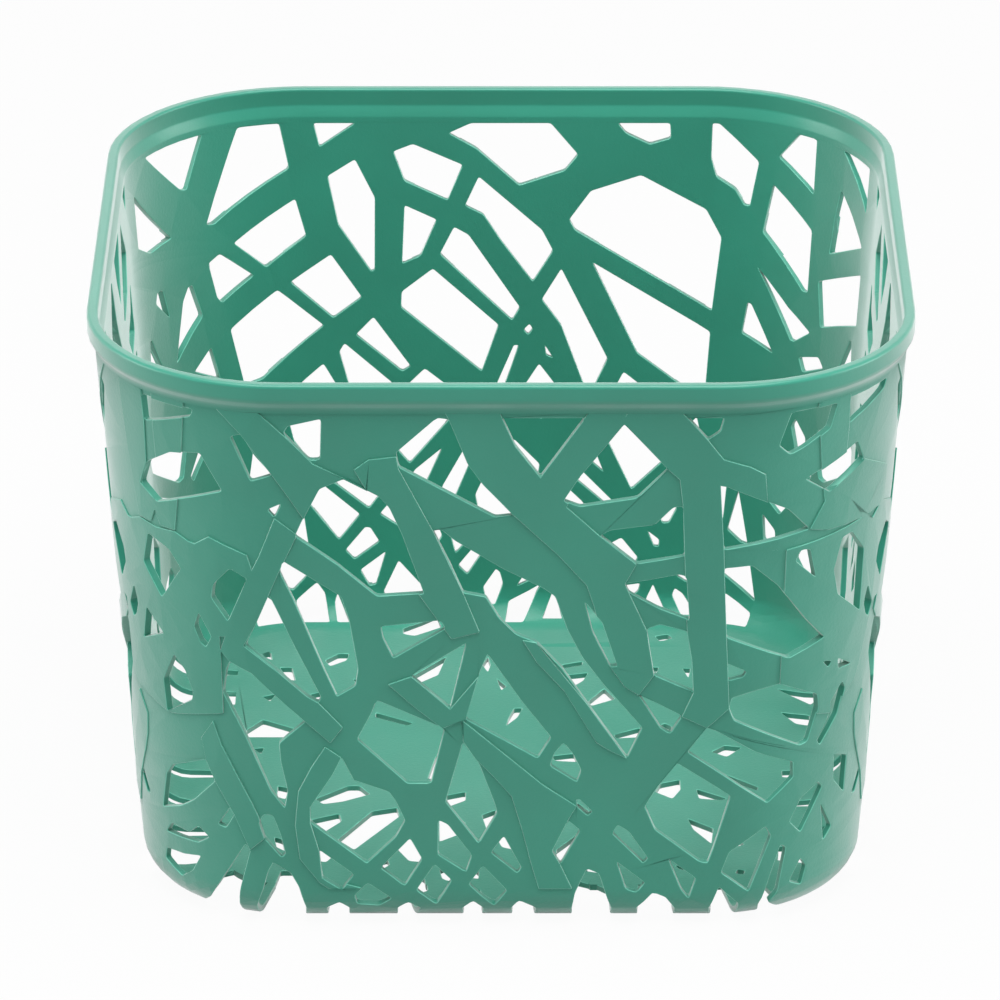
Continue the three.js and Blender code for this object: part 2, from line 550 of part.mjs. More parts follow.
// Splits the triangles of a mesh along a line, so that it can bend there
function creased(mesh, axis, at) {
  const { points, faces } = mesh;
  for (const point of points) {
    if (Math.abs(point[axis] - at) < SNAP_SHARE) {
      point[axis] = at;
    }
  }
  const cuts = new Map();
  const cut = (i, j) => {
    const key = i < j ? i + "_" + j : j + "_" + i;
    if (!cuts.has(key)) {
      const [p, q] = i < j ? [points[i], points[j]] : [points[j], points[i]];
      const t = (at - p[axis]) / (q[axis] - p[axis]);
      const made = p.map((v, k) => v + (q[k] - v) * t);
      made[axis] = at;
      points.push(made);
      cuts.set(key, points.length - 1);
    }
    return cuts.get(key);
  };
  const split = [];
  for (const face of faces) {
    const sides = face.map((i) => Math.sign(points[i][axis] - at));
    if (!sides.includes(1) || !sides.includes(-1)) {
      split.push(face);
      continue;
    }
    const rings = { "-1": [], 1: [] };
    face.forEach((i, k) => {
      const j = face[(k + 1) % face.length];
      const here = sides[k];
      const next = sides[(k + 1) % face.length];
      if (here <= 0) {
        rings[-1].push(i);
      }
      if (here >= 0) {
        rings[1].push(i);
      }
      if (here * next < 0) {
        const mid = cut(i, j);
        rings[-1].push(mid);
        rings[1].push(mid);
      }
    });
    for (const ring of [rings[-1], rings[1]]) {
      for (let k = 1; k < ring.length - 1; k += 1) {
        split.push([ring[0], ring[k], ring[k + 1]]);
      }
    }
  }
  return { points, faces: split };
}

// Whether a point lies on the line between two others, away from its ends
function between(point, a, b) {
  const run = b.map((v, k) => v - a[k]);
  const length = Math.hypot(...run);
  const along = point.reduce((sum, v, k) => sum + (v - a[k]) * run[k], 0) / length;
  const off = Math.hypot(...point.map((v, k) => v - a[k] - (run[k] * along) / length));
  return along > WELD_SHARE && along < length - WELD_SHARE && off < WELD_SHARE;
}

// Splits the faces beside a bend wherever the cell beyond it has a corner
function stitched(mesh, shared) {
  const onSame = (a, b) => onBend([a, b], 0, bendsX) || onBend([a, b], 1, bendsY);
  const open = [...mesh.faces];
  const faces = [];
  while (open.length > 0) {
    const face = open.pop();
    let parts = null;
    for (let k = 0; k < face.length && !parts; k += 1) {
      const [i, j, far] = [face[k], face[(k + 1) % face.length], face[(k + 2) % face.length]];
      const [a, b] = [mesh.points[i], mesh.points[j]];
      const mid = onSame(a, b) ? shared.find((m) => between(mesh.points[m], a, b)) : undefined;
      if (mid !== undefined) {
        parts = [[i, mid, far], [mid, j, far]];
      }
    }
    if (parts) {
      open.push(...parts);
    } else {
      faces.push(face);
    }
  }
  return { points: mesh.points, faces };
}

// A flat body bent into the shell
function bent(body) {
  let mesh = { points: [], faces: [] };
  const shared = [];
  const indexOf = (point) => {
    if (!onBend([point], 0, bendsX) && !onBend([point], 1, bendsY)) {
      return mesh.points.push(point) - 1;
    }
    const gap = (i) => Math.hypot(...mesh.points[i].map((v, k) => v - point[k]));
    const met = shared.find((i) => gap(i) < WELD_SHARE);
    if (met === undefined) {
      shared.push(mesh.points.push(point) - 1);
      return mesh.points.length - 1;
    }
    return met;
  };
  for (const cell of cells(body)) {
    const raw = cell.getMesh();
    const indices = [];
    for (let i = 0; i < raw.numVert; i += 1) {
      const k = i * raw.numProp;
      indices.push(indexOf(Array.from(raw.vertProperties.slice(k, k + 3))));
    }
    for (let i = 0; i < raw.triVerts.length; i += 3) {
      const face = Array.from(raw.triVerts.slice(i, i + 3)).map((v) => indices[v]);
      const corners = face.map((v) => mesh.points[v]);
      if (!onBend(corners, 0, bendsX) && !onBend(corners, 1, bendsY)) {
        mesh.faces.push(face);
      }
    }
  }
  mesh = stitched(mesh, shared);
  for (const at of seamsX) {
    mesh = creased(mesh, 0, at);
  }
  mesh = creased(mesh, 1, EDGE_RUN);
  const positions = [];
  for (const face of mesh.faces) {
    for (const i of face) {
      const [x, s, w] = mesh.points[i];
      const { a, z, out } = section(s);
      const [px, py] = around(x, a + w * out[0]);
      positions.push(px, py, z + w * out[1]);
    }
  }
  const geometry = new THREE.BufferGeometry();
  geometry.setAttribute("position", new THREE.Float32BufferAttribute(positions, 3));
  geometry.computeVertexNormals();
  return geometry;
}

// The lines round the basket at which a swept part has its corners
const stations = [];
for (let side = 0; side < SIDES; side += 1) {
  for (let step = 0; step <= CORNER_STEPS; step += 1) {
    stations.push(side * PITCH + CENTRE + (CORNER_RUN * step) / CORNER_STEPS);
  }
}

// A closed section swept round the basket
function swept(profile) {
  const rings = stations.map((x) => profile.map(([a, z]) => [...around(x, a), z]));
  const positions = [];
  rings.forEach((ring, i) => {
    const next = rings[(i + 1) % rings.length];
    ring.forEach((p, k) => {
      const m = (k + 1) % ring.length;
      positions.push(...p, ...next[k], ...next[m]);
      positions.push(...p, ...next[m], ...ring[m]);
    });
  });
  const geometry = new THREE.BufferGeometry();
  geometry.setAttribute("position", new THREE.Float32BufferAttribute(positions, 3));
  geometry.computeVertexNormals();
  return geometry;
}

const plastic = new THREE.MeshStandardMaterial({ color: 0x56a089, roughness: 0.5, metalness: 0 });
const group = new THREE.Group();
group.name = "storage_basket";

function add(name, geometry) {
  const mesh = new THREE.Mesh(geometry, plastic);
  mesh.name = name;
  group.add(mesh);
}

// The rim, whose neck meets the top of the walls
const wallTop = section(PATH_TOP);
const neckOuter = [wallTop.a, wallTop.z];
const neckInner = [wallTop.a - SHELL * wallTop.out[0], wallTop.z - SHELL * wallTop.out[1]];
const lipInner = RIM_HALF - RIM_THICK;
const rise = (depth) => WALL_FOOT + DRAFT_SHARE * (HEIGHT - depth);
add("rim", swept([
  neckOuter,
  [rise(RIM_LIP_DEPTH), HEIGHT - RIM_LIP_DEPTH],
  [RIM_HALF, HEIGHT - RIM_LIP_DEPTH],
  [RIM_HALF, HEIGHT - RIM_EASE],
  [RIM_HALF - RIM_EASE, HEIGHT],
  [lipInner + RIM_EASE, HEIGHT],
  [lipInner, HEIGHT - RIM_EASE],
  [lipInner, HEIGHT - RIM_LEDGE_DEPTH],
  [rise(RIM_LEDGE_FOOT) - SHELL, HEIGHT - RIM_LEDGE_FOOT],
  neckInner,
]));

for (const zone of zones) {
  add(zone.name, bent(zone.body));
}

// The floor inside the border
const floorOutline = stations.map((x) => around(x, FLOOR_HALF));
const slits = FLOOR_SHARES.map((outline) => {
  const points = outline.map(([x, y]) => [(x / HUNDRED) * FLOOR_HALF, (y / HUNDRED) * FLOOR_HALF]);
  return prism(points, -SHELL, SHELL + SHELL);
});
const floorBody = prism(floorOutline, 0, SHELL).subtract(Manifold.union(slits));
const floorMesh = floorBody.getMesh();
const floorGeometry = new THREE.BufferGeometry();
floorGeometry.setAttribute("position", new THREE.Float32BufferAttribute(floorMesh.vertProperties, 3));
floorGeometry.setIndex(Array.from(floorMesh.triVerts));
const floorFaces = floorGeometry.toNonIndexed();
floorFaces.computeVertexNormals();
add("floor", floorFaces);

export default group;
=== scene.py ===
import math

import bmesh
import bpy
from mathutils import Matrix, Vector


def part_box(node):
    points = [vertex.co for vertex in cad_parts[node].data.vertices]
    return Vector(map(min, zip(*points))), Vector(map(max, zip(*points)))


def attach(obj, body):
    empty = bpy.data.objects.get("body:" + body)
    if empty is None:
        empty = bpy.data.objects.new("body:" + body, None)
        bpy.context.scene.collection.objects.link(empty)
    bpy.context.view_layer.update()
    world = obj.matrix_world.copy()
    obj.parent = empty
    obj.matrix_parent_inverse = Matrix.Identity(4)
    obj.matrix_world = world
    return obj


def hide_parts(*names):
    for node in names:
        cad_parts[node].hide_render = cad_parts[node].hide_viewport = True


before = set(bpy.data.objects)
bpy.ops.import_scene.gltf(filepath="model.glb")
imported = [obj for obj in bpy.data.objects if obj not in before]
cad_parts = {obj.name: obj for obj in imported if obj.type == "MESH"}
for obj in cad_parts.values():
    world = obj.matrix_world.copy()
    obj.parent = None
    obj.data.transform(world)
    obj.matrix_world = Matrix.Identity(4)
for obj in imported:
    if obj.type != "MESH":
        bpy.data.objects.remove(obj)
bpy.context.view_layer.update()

# Sizes of the basket in metres. The frame gives the half widths and heights of its zones.
MM = 0.001
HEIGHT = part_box("rim")[1][2]
RIM_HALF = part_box("rim")[1][0]
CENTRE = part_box("front_wall")[1][0]
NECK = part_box("rim")[0][2]
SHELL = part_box("floor")[1][2]
FLOOR_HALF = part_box("floor")[1][0]

# How far the walls lean out for each metre up, and how far their foot would stand in from the rim's side
DRAFT_SHARE = 0.065
WALL_FOOT_INSET = 16.05 * MM
WALL_FOOT = RIM_HALF - WALL_FOOT_INSET
EDGE_ROUND_R = 14 * MM

# How far the raised branches stand proud, the closed band under the rim, and the thinnest bar
RELIEF = 0.6 * MM
TOP_BAND = 2 * MM
BAR_MIN = 2.6 * MM

# Rim, measured down from its top and in from its side
RIM_THICK = 4 * MM
RIM_LIP_DEPTH = 6.2 * MM
RIM_COVE_DEPTH = 9.4 * MM
RIM_LEDGE_DEPTH = 6.4 * MM
RIM_LEDGE_FOOT = 10 * MM

# How round the rim's edges are: the widest, and the share of it that each edge takes
RIM_EASE = 1.3 * MM
RIM_EASE_SEGMENTS = 4
RIM_TOP_EASE = 1
RIM_TOP_INNER_EASE = 0.8
RIM_LIP_EASE = 0.8
RIM_COVE_EASE = 1
RIM_LEDGE_EASE = 0.4

# What the sizes above make. A run is a length along the section or round the basket.
SIDES = 4
FRONT, RIGHT, BACK, LEFT = range(SIDES)
QUARTER = math.pi / 2
DRAFT = math.atan(DRAFT_SHARE)
EDGE_CENTRE = WALL_FOOT + DRAFT_SHARE * EDGE_ROUND_R - EDGE_ROUND_R / math.cos(DRAFT)
FLOOR_BORDER = EDGE_CENTRE - FLOOR_HALF
EDGE_TURN = QUARTER - DRAFT
EDGE_RUN = EDGE_ROUND_R * EDGE_TURN
EDGE_TOP = EDGE_ROUND_R * (1 - math.cos(EDGE_TURN))
PATH_TOP = EDGE_RUN + (NECK - EDGE_TOP) / math.cos(DRAFT)
FOOT_LINE = EDGE_RUN - EDGE_ROUND_R / 2
OPENWORK_RUN = PATH_TOP - TOP_BAND - FOOT_LINE
CORNER_R = RIM_HALF - CENTRE
CORNER_RUN = (CORNER_R - (RIM_HALF - WALL_FOOT) / 2) * QUARTER
PITCH = 2 * CENTRE + CORNER_RUN
STRIP_START = -CENTRE - CORNER_RUN
STRIP_END = STRIP_START + SIDES * PITCH

# How finely curves are stepped
CORNER_STEPS = 14
EDGE_STEPS = 6

# How points are joined, how squarely the strip's end faces look, and how far cutters reach past their work
WELD = 0.02 * MM
CUT_SNAP = WELD / 20
SEAM_ROUNDS = 3
END_FACING = 0.99
OVERRUN = 2 * MM
MIN_CORNERS = 3

# How windows and edges are rounded. A rounded corner is a quadratic curve's ends and middle, and the crest
# of an edge lies this far from a flat face. Turns are in radians.
WINDOW_R = 0.9 * MM
WINDOW_R_SHARE = 0.3
CURVE_END_WEIGHT = 0.25
CURVE_CORNER_WEIGHT = 0.5
EDGE_EASE = 0.35 * MM
EDGE_EASE_SEGMENTS = 2
RELIEF_EASE_SHARE = 0.7
SHARP_TURN = 1
CREST_NEAR = 0.04 * MM
CREST_FAR = 0.2 * MM
BORDER_MARGIN = 1 * MM
SMOOTH_TURN = math.radians(50)
NORMAL_WEIGHT = 50

# Where the camera stands, and its framing
CAMERA_DISTANCE = 2549.8 * MM
CAMERA_PITCH = math.radians(23.93)
CAMERA_TARGET = Vector((0, 0, 107.15 * MM))
CAMERA_LENS = 260.5
CAMERA_SENSOR = 36
CAMERA_SHIFT = (-0.001, -0.0062)
CAMERA_REACH = 50

# The lamps, aimed at the basket's middle: name, place, width and depth, and watts
LAMP_AIM = Vector((0, 0, HEIGHT / 2))
LAMPS = [
    ("overhead_box", (0, -0.5, 2.1), (1.6, 1.6), 52),
    ("left_box", (-2.2, -0.1, 0.7), (1.2, 1.2), 22),
    ("right_box", (2.2, -0.1, 0.7), (1.2, 1.2), 27),
]

# The paper under the basket, and the studio round it
PAPER_SIZE = 12
PAPER_DROP = 0.05 * MM
PAPER_ROUGHNESS = 0.9
PAPER_WHITE_SHARE = 0.95
STUDIO_LIGHT = 0.2
WHITE_LEVEL = 1
WHITE = (1, 1, 1, 1)

# Colours are written as sRGB values from 0 to 255, and the rest turns them into linear ones
PLASTIC = (32, 143, 119)
# The crest colour is a painted highlight: a paler mint laid on the rounded edges, on their lit and shaded
# sides alike.
CREST_HIGHLIGHT = (135, 222, 198)
PAPER = (200, 200, 200)
SRGB_FULL = 255
SRGB_DARK_END = 0.04045
SRGB_DARK_SLOPE = 12.92
SRGB_LIFT = 0.055
SRGB_POWER = 2.4

# The skin of the plastic. Scales are in features per metre.
PLASTIC_IOR = 1.5
SATIN_ROUGHNESS = 0.46
SATIN_GRAIN = 0.35
SMOOTH_ROUGHNESS = 0.36
SMOOTH_GRAIN = 0.15
HAZE = 1
HAZE_SPREAD = 0.45
MOTTLE_SCALE = 22
MOTTLE_DETAIL = 3
MOTTLE_RANGE = (0.95, 1.05)
# The painted highlight on the crests is broken into patches by noise at this scale and in this range.
CREST_HIGHLIGHT_SCALE = 160
CREST_HIGHLIGHT_RANGE = (0.5, 0.9)
GLOSS_SCALE = 60
GLOSS_RANGE = (0.92, 1.08)
COARSE_GRAIN_SCALE = 900
FINE_GRAIN_SCALE = 2800
FINE_GRAIN_SHARE = 0.6
GRAIN_DEPTH = 0.15 * MM
SKIN_DETAIL = 2
NOISE_RANGE = (0.3, 0.7)

# The tables below give places in hundredths
HUNDREDTHS = 100

# The windows of the openwork, each the corners of one outline. The first number of a pair runs to the
# right from the middle of a side, in hundredths of a side; the second runs up the wall, in hundredths of it.
FRONT_WINDOWS = [
    [(-16.9, 58.6), (-8.4, 59.8), (-7.8, 58.2), (-15.2, 52.2), (-16.6, 56.2)],
    [(-51, 100), (-50.8, 95), (-43, 98.5), (-42.5, 100)],
    [(-52.7, 82), (-49.4, 79.6), (-38.8, 84.8), (-41.8, 91.6), (-46.4, 90.5), (-51, 86.8)],
    [(-37.3, 95.8), (-34.7, 87.4), (-31.8, 88.8), (-34.2, 92.6), (-35.8, 96.5)],
    [(-25, 99.8), (-29.6, 98.4), (-30.2, 97), (-28.6, 94.6), (-26.6, 91.8), (-25.2, 91.9)],
    [(-25.3, 86.2), (-27.9, 79.4), (-28.8, 76.7), (-26.8, 74.8), (-22.9, 71), (-17.4, 64.7), (-10.8, 65.3),
     (-13.8, 77), (-15.6, 82.5), (-17, 84.7), (-21.8, 88.2)],
    [(-32.5, 81.9), (-31.6, 80.4), (-30.7, 83.1)],
    [(-38, 69.7), (-40.6, 66), (-41, 63.2), (-38.6, 59), (-35.6, 68)],
    [(-43.2, 59.6), (-44.1, 56.6), (-43.2, 53.8), (-42.3, 52.9), (-41.3, 55.3)],
    [(-51.8, 72.4), (-53.4, 66), (-49.8, 60.4), (-45.8, 67.6), (-47.8, 70.8)],
    [(-30.6, 71.7), (-31, 69.5), (-29.2, 64.3), (-25, 50), (-23.2, 44.4), (-20.6, 46.5), (-20.2, 50),
     (-21.4, 60), (-22.5, 64.6)],
    [(-32.6, 64.8), (-34.5, 59), (-36.2, 54.4), (-31.5, 49.5), (-27.5, 44.6), (-25.8, 43.2), (-25.5, 44.3),
     (-29.3, 55), (-31.6, 62)],
    [(-38.6, 50.8), (-39.3, 49), (-40, 44.3), (-36.9, 36.5), (-33, 25), (-30.9, 21.5), (-30.4, 25),
     (-31.4, 31), (-31.6, 34.8), (-27.7, 39.3), (-35.4, 48.9)],
    [(-48.2, 49.5), (-50.8, 43.5), (-50.5, 37), (-45.3, 41.2), (-45, 43.2), (-46.2, 47)],
    [(-43.4, 29.6), (-47.8, 27.3), (-50.5, 26), (-52.2, 23.5), (-54, 15.8), (-49.5, 17.9), (-46.5, 20.2),
     (-42, 25.6)],
    [(-53.5, 11), (-46, 11.6), (-43.8, 13.3), (-45.8, 15), (-47.8, 13), (-52, 13.3)],
    [(-54.5, 5), (-50.2, 3), (-47.8, 5), (-45.8, 8.8), (-49.4, 7.9), (-53.8, 7.4)],
    [(-42, 16.6), (-40.6, 16.2), (-39, 19.4), (-39.7, 20.6)],
    [(-34.2, 20), (-35, 18.3), (-34.2, 15), (-31.5, 11.2), (-30.9, 12), (-31.7, 16), (-32.8, 19.8)],
    [(-22.7, 32), (-24, 28.4), (-27.2, 21.8), (-27.2, 18.5), (-19.2, 10), (-15, 15.5), (-13.7, 18.8),
     (-15, 22.8), (-16, 24.8), (-21, 27.2)],
    [(-26, 12.7), (-25.6, 7), (-22.8, 4.6), (-21.1, 7.6)],
    [(-19.1, 5.8), (-21, 3.2), (-20.6, 1.2), (-17.5, 0.8), (-15.7, 2.6)],
    [(-17.6, 43.6), (-18.4, 40.8), (-20.4, 35.6), (-13.3, 26.6), (-10, 26.6), (-8, 37.8)],
    [(-8.9, 100), (-14.6, 93.2), (-14.2, 90.4), (-0.8, 80.5), (1.8, 80.9), (-2.5, 87), (-4.6, 91),
     (-7.2, 99.7)],
    [(0.2, 100), (2, 94.6), (5.5, 88.5), (11.6, 100)],
    [(17.1, 99), (14.8, 95), (11, 88.6), (8.7, 83.8), (11, 82.6), (19, 84.3), (23.3, 90)],
    [(-9.5, 77.8), (-7, 70.8), (-5.3, 65.4), (-2.1, 64.6), (-0.2, 60.2), (2, 57.1), (5, 55.4), (8.6, 50.2),
     (12.4, 42.6), (17.9, 31.8), (20, 38), (14.6, 46.6), (11.5, 52.2), (9.3, 58), (7.6, 64.6), (6, 66.2),
     (0.2, 70.2), (-6.5, 75.8), (-8.4, 78)],
    [(11.8, 63.4), (12.9, 57.5), (15.4, 50.5), (16.4, 50.7), (14.2, 59.6)],
    [(13.9, 76.8), (19, 71.2), (25.7, 72.7), (25.4, 82.6), (24.1, 82.4), (21.5, 78.9), (15.2, 77.8)],
    [(17.4, 67.2), (18, 65.4), (22, 62.4), (26.5, 60), (26, 68.6), (25, 69), (20.3, 67.8)],
    [(20.5, 58), (21.6, 48.8), (27.2, 45.3), (26.9, 52), (26.2, 57.6), (22.4, 59)],
    [(19.5, 44.8), (22.6, 38), (24, 36.8), (25.6, 40.4)],
    [(26, 100), (28.8, 95.8), (30.4, 97.3), (30.9, 100)],
    [(30.6, 86.8), (31.2, 74), (43.5, 76.2), (40, 81), (37, 83), (31.4, 86.6)],
    [(31.3, 70.2), (31.8, 56.4), (38.5, 52.5), (41.2, 51), (47.2, 53.4), (43.8, 58), (39, 66), (35.2, 70.5)],
    [(40, 100), (38.4, 93.8), (40, 91.8), (42, 92.8), (45.8, 95.4), (46.8, 100)],
    [(42.5, 86.3), (46.4, 82.7), (53, 86.5), (51.4, 90.6), (48.5, 89.2)],
    [(42.2, 72.4), (41.5, 70.4), (44.9, 66.2), (43.7, 72.2)],
    [(49.5, 72.5), (48.2, 66.5), (49.3, 61.2), (54.8, 55.5), (54.6, 68), (51.4, 72.8)],
    [(-4.9, 55.2), (-12.7, 48.6), (-7.2, 42)],
    [(-1.9, 53), (-3.2, 48.6), (-5, 39.8), (5.2, 31.8), (7.1, 36), (2.9, 43.4)],
    [(-5.4, 35), (-7.9, 22.8), (-3.2, 14.2), (-0.6, 20.4), (-0.7, 21.5), (-3.2, 30.8)],
    [(8.9, 34.9), (7.6, 32.8), (7, 30.2), (10.8, 26.9), (11.4, 29.2), (10.3, 32.4)],
    [(10.8, 23.2), (10.8, 21.8), (12.4, 19.9), (13, 20.7), (11.2, 23.2)],
    [(9.5, 18.9), (7.3, 12.6), (8.5, 9.8), (11.3, 16.8)],
    [(16.6, 17.9), (15.9, 16.2), (20.4, 10), (21, 11), (18.2, 16.6)],
    [(0.4, 15.6), (-1.4, 12.2), (2.3, 8), (2.9, 9)],
    [(-8.9, 18.9), (-9, 11.8), (-5, 8.2), (-4.2, 11.6), (-7.6, 18)],
    [(-13, 15.1), (-17.2, 9), (-13.8, 5.3), (-11.3, 10.8)],
    [(-9.5, 9.7), (-12.1, 4.4), (-9.3, 1.2), (-7.1, 6.4)],
    [(-2.6, 9.4), (-4.6, 5.6), (-1, 0.8), (0.8, 4.3)],
    [(16.6, 10.2), (17.9, 4.6), (19.4, 3.9), (20.6, 5.9)],
    [(24, 10.8), (25.8, 4.6), (26.9, 2.6), (27.9, 6.8)],
    [(38.8, 16.8), (33, 12.2), (31.7, 8), (36.3, 3.7), (39.8, 14.6)],
    [(25, 30.7), (22.3, 25.8), (20.5, 21.8), (22, 17), (28.4, 10.4), (29.5, 10), (31, 15.8), (32.9, 23.8)],
    [(29.2, 38.1), (26.5, 33), (38.9, 21.7), (43.2, 26), (43, 29.2), (36.8, 32.4), (31, 37)],
    [(32.8, 44), (32.4, 42), (33.2, 39.4), (44, 32.3), (45.4, 32.6), (47, 39), (46.6, 42), (40.2, 45.9),
     (36.5, 45.2)],
    [(32, 51), (32.2, 47.6), (34.4, 48.2), (34.8, 49.2)],
    [(47.2, 48.5), (48.4, 46.8), (49, 47.8)],
    [(50.4, 47.8), (50.6, 45.6), (53.6, 45.4)],
    [(51.8, 42.6), (49.4, 39.4), (49.6, 36.4), (47.4, 32.2), (48, 31), (51.4, 36), (52.6, 41)],
    [(48.3, 23.3), (45, 21.2), (43, 16.8), (45.2, 14), (49.2, 22)],
    [(49.2, 18.4), (50.4, 10.4), (52.2, 12.6)],
    [(51.6, 27.6), (51.8, 22.4), (55, 18.5), (55, 26)],
    [(45.6, 8.4), (43.6, 4.2), (46, 2.8), (46.8, 6.5)],
]

# The notches and windows at the foot, which reach down the bottom edge, read as those above.
FOOT_WINDOWS = [
    [(-39.2, 0), (-38.6, 4), (-36.6, 12.4), (-37.4, 13.4), (-40, 8.5), (-42.3, 4.3), (-44.8, 0),
     (-50, -5.5), (-56, -10), (-55, -16), (-39.4, -16)],
    [(-28, 0), (-29, 5), (-30.2, 8), (-32.9, 10.1), (-33.8, 8), (-34.6, 4.6), (-36, 0), (-36.4, -16),
     (-28.4, -16)],
    [(-21.8, 0), (-23.2, 1.6), (-25, 0), (-24.6, -13), (-22, -13)],
    [(-11.6, 0), (-13.3, 1.6), (-14.8, 0), (-15, -12), (-13.6, -13)],
    [(-12.4, -16), (-10.9, -16), (-10.6, -12.6), (-11.6, -11.6)],
    [(-2.6, 0), (-4, 1.9), (-5.5, 0), (-5.2, -13), (-3, -13)],
    [(5, 0), (2.6, 2), (1.5, 0), (1.8, -13), (4.4, -13)],
    [(15.8, 0), (14, 7.8), (12.3, 8.8), (10.6, 3.6), (10.2, 0), (10.2, -16), (13, -16), (15.6, -12.6)],
    [(24.9, 0), (23.6, 2.8), (21.8, 3.8), (19.5, 0), (20, -16), (24.4, -16)],
    [(34.8, 0), (34.7, 1), (31.4, 5), (29.9, 0), (30.8, -16), (34.4, -16)],
    [(40.2, 0), (41.4, 2.6), (42.6, 11.6), (41.6, 12.4), (40, 6.5), (38.4, 0), (39.6, -6), (43, -13),
     (47, -12), (44, -4)],
]

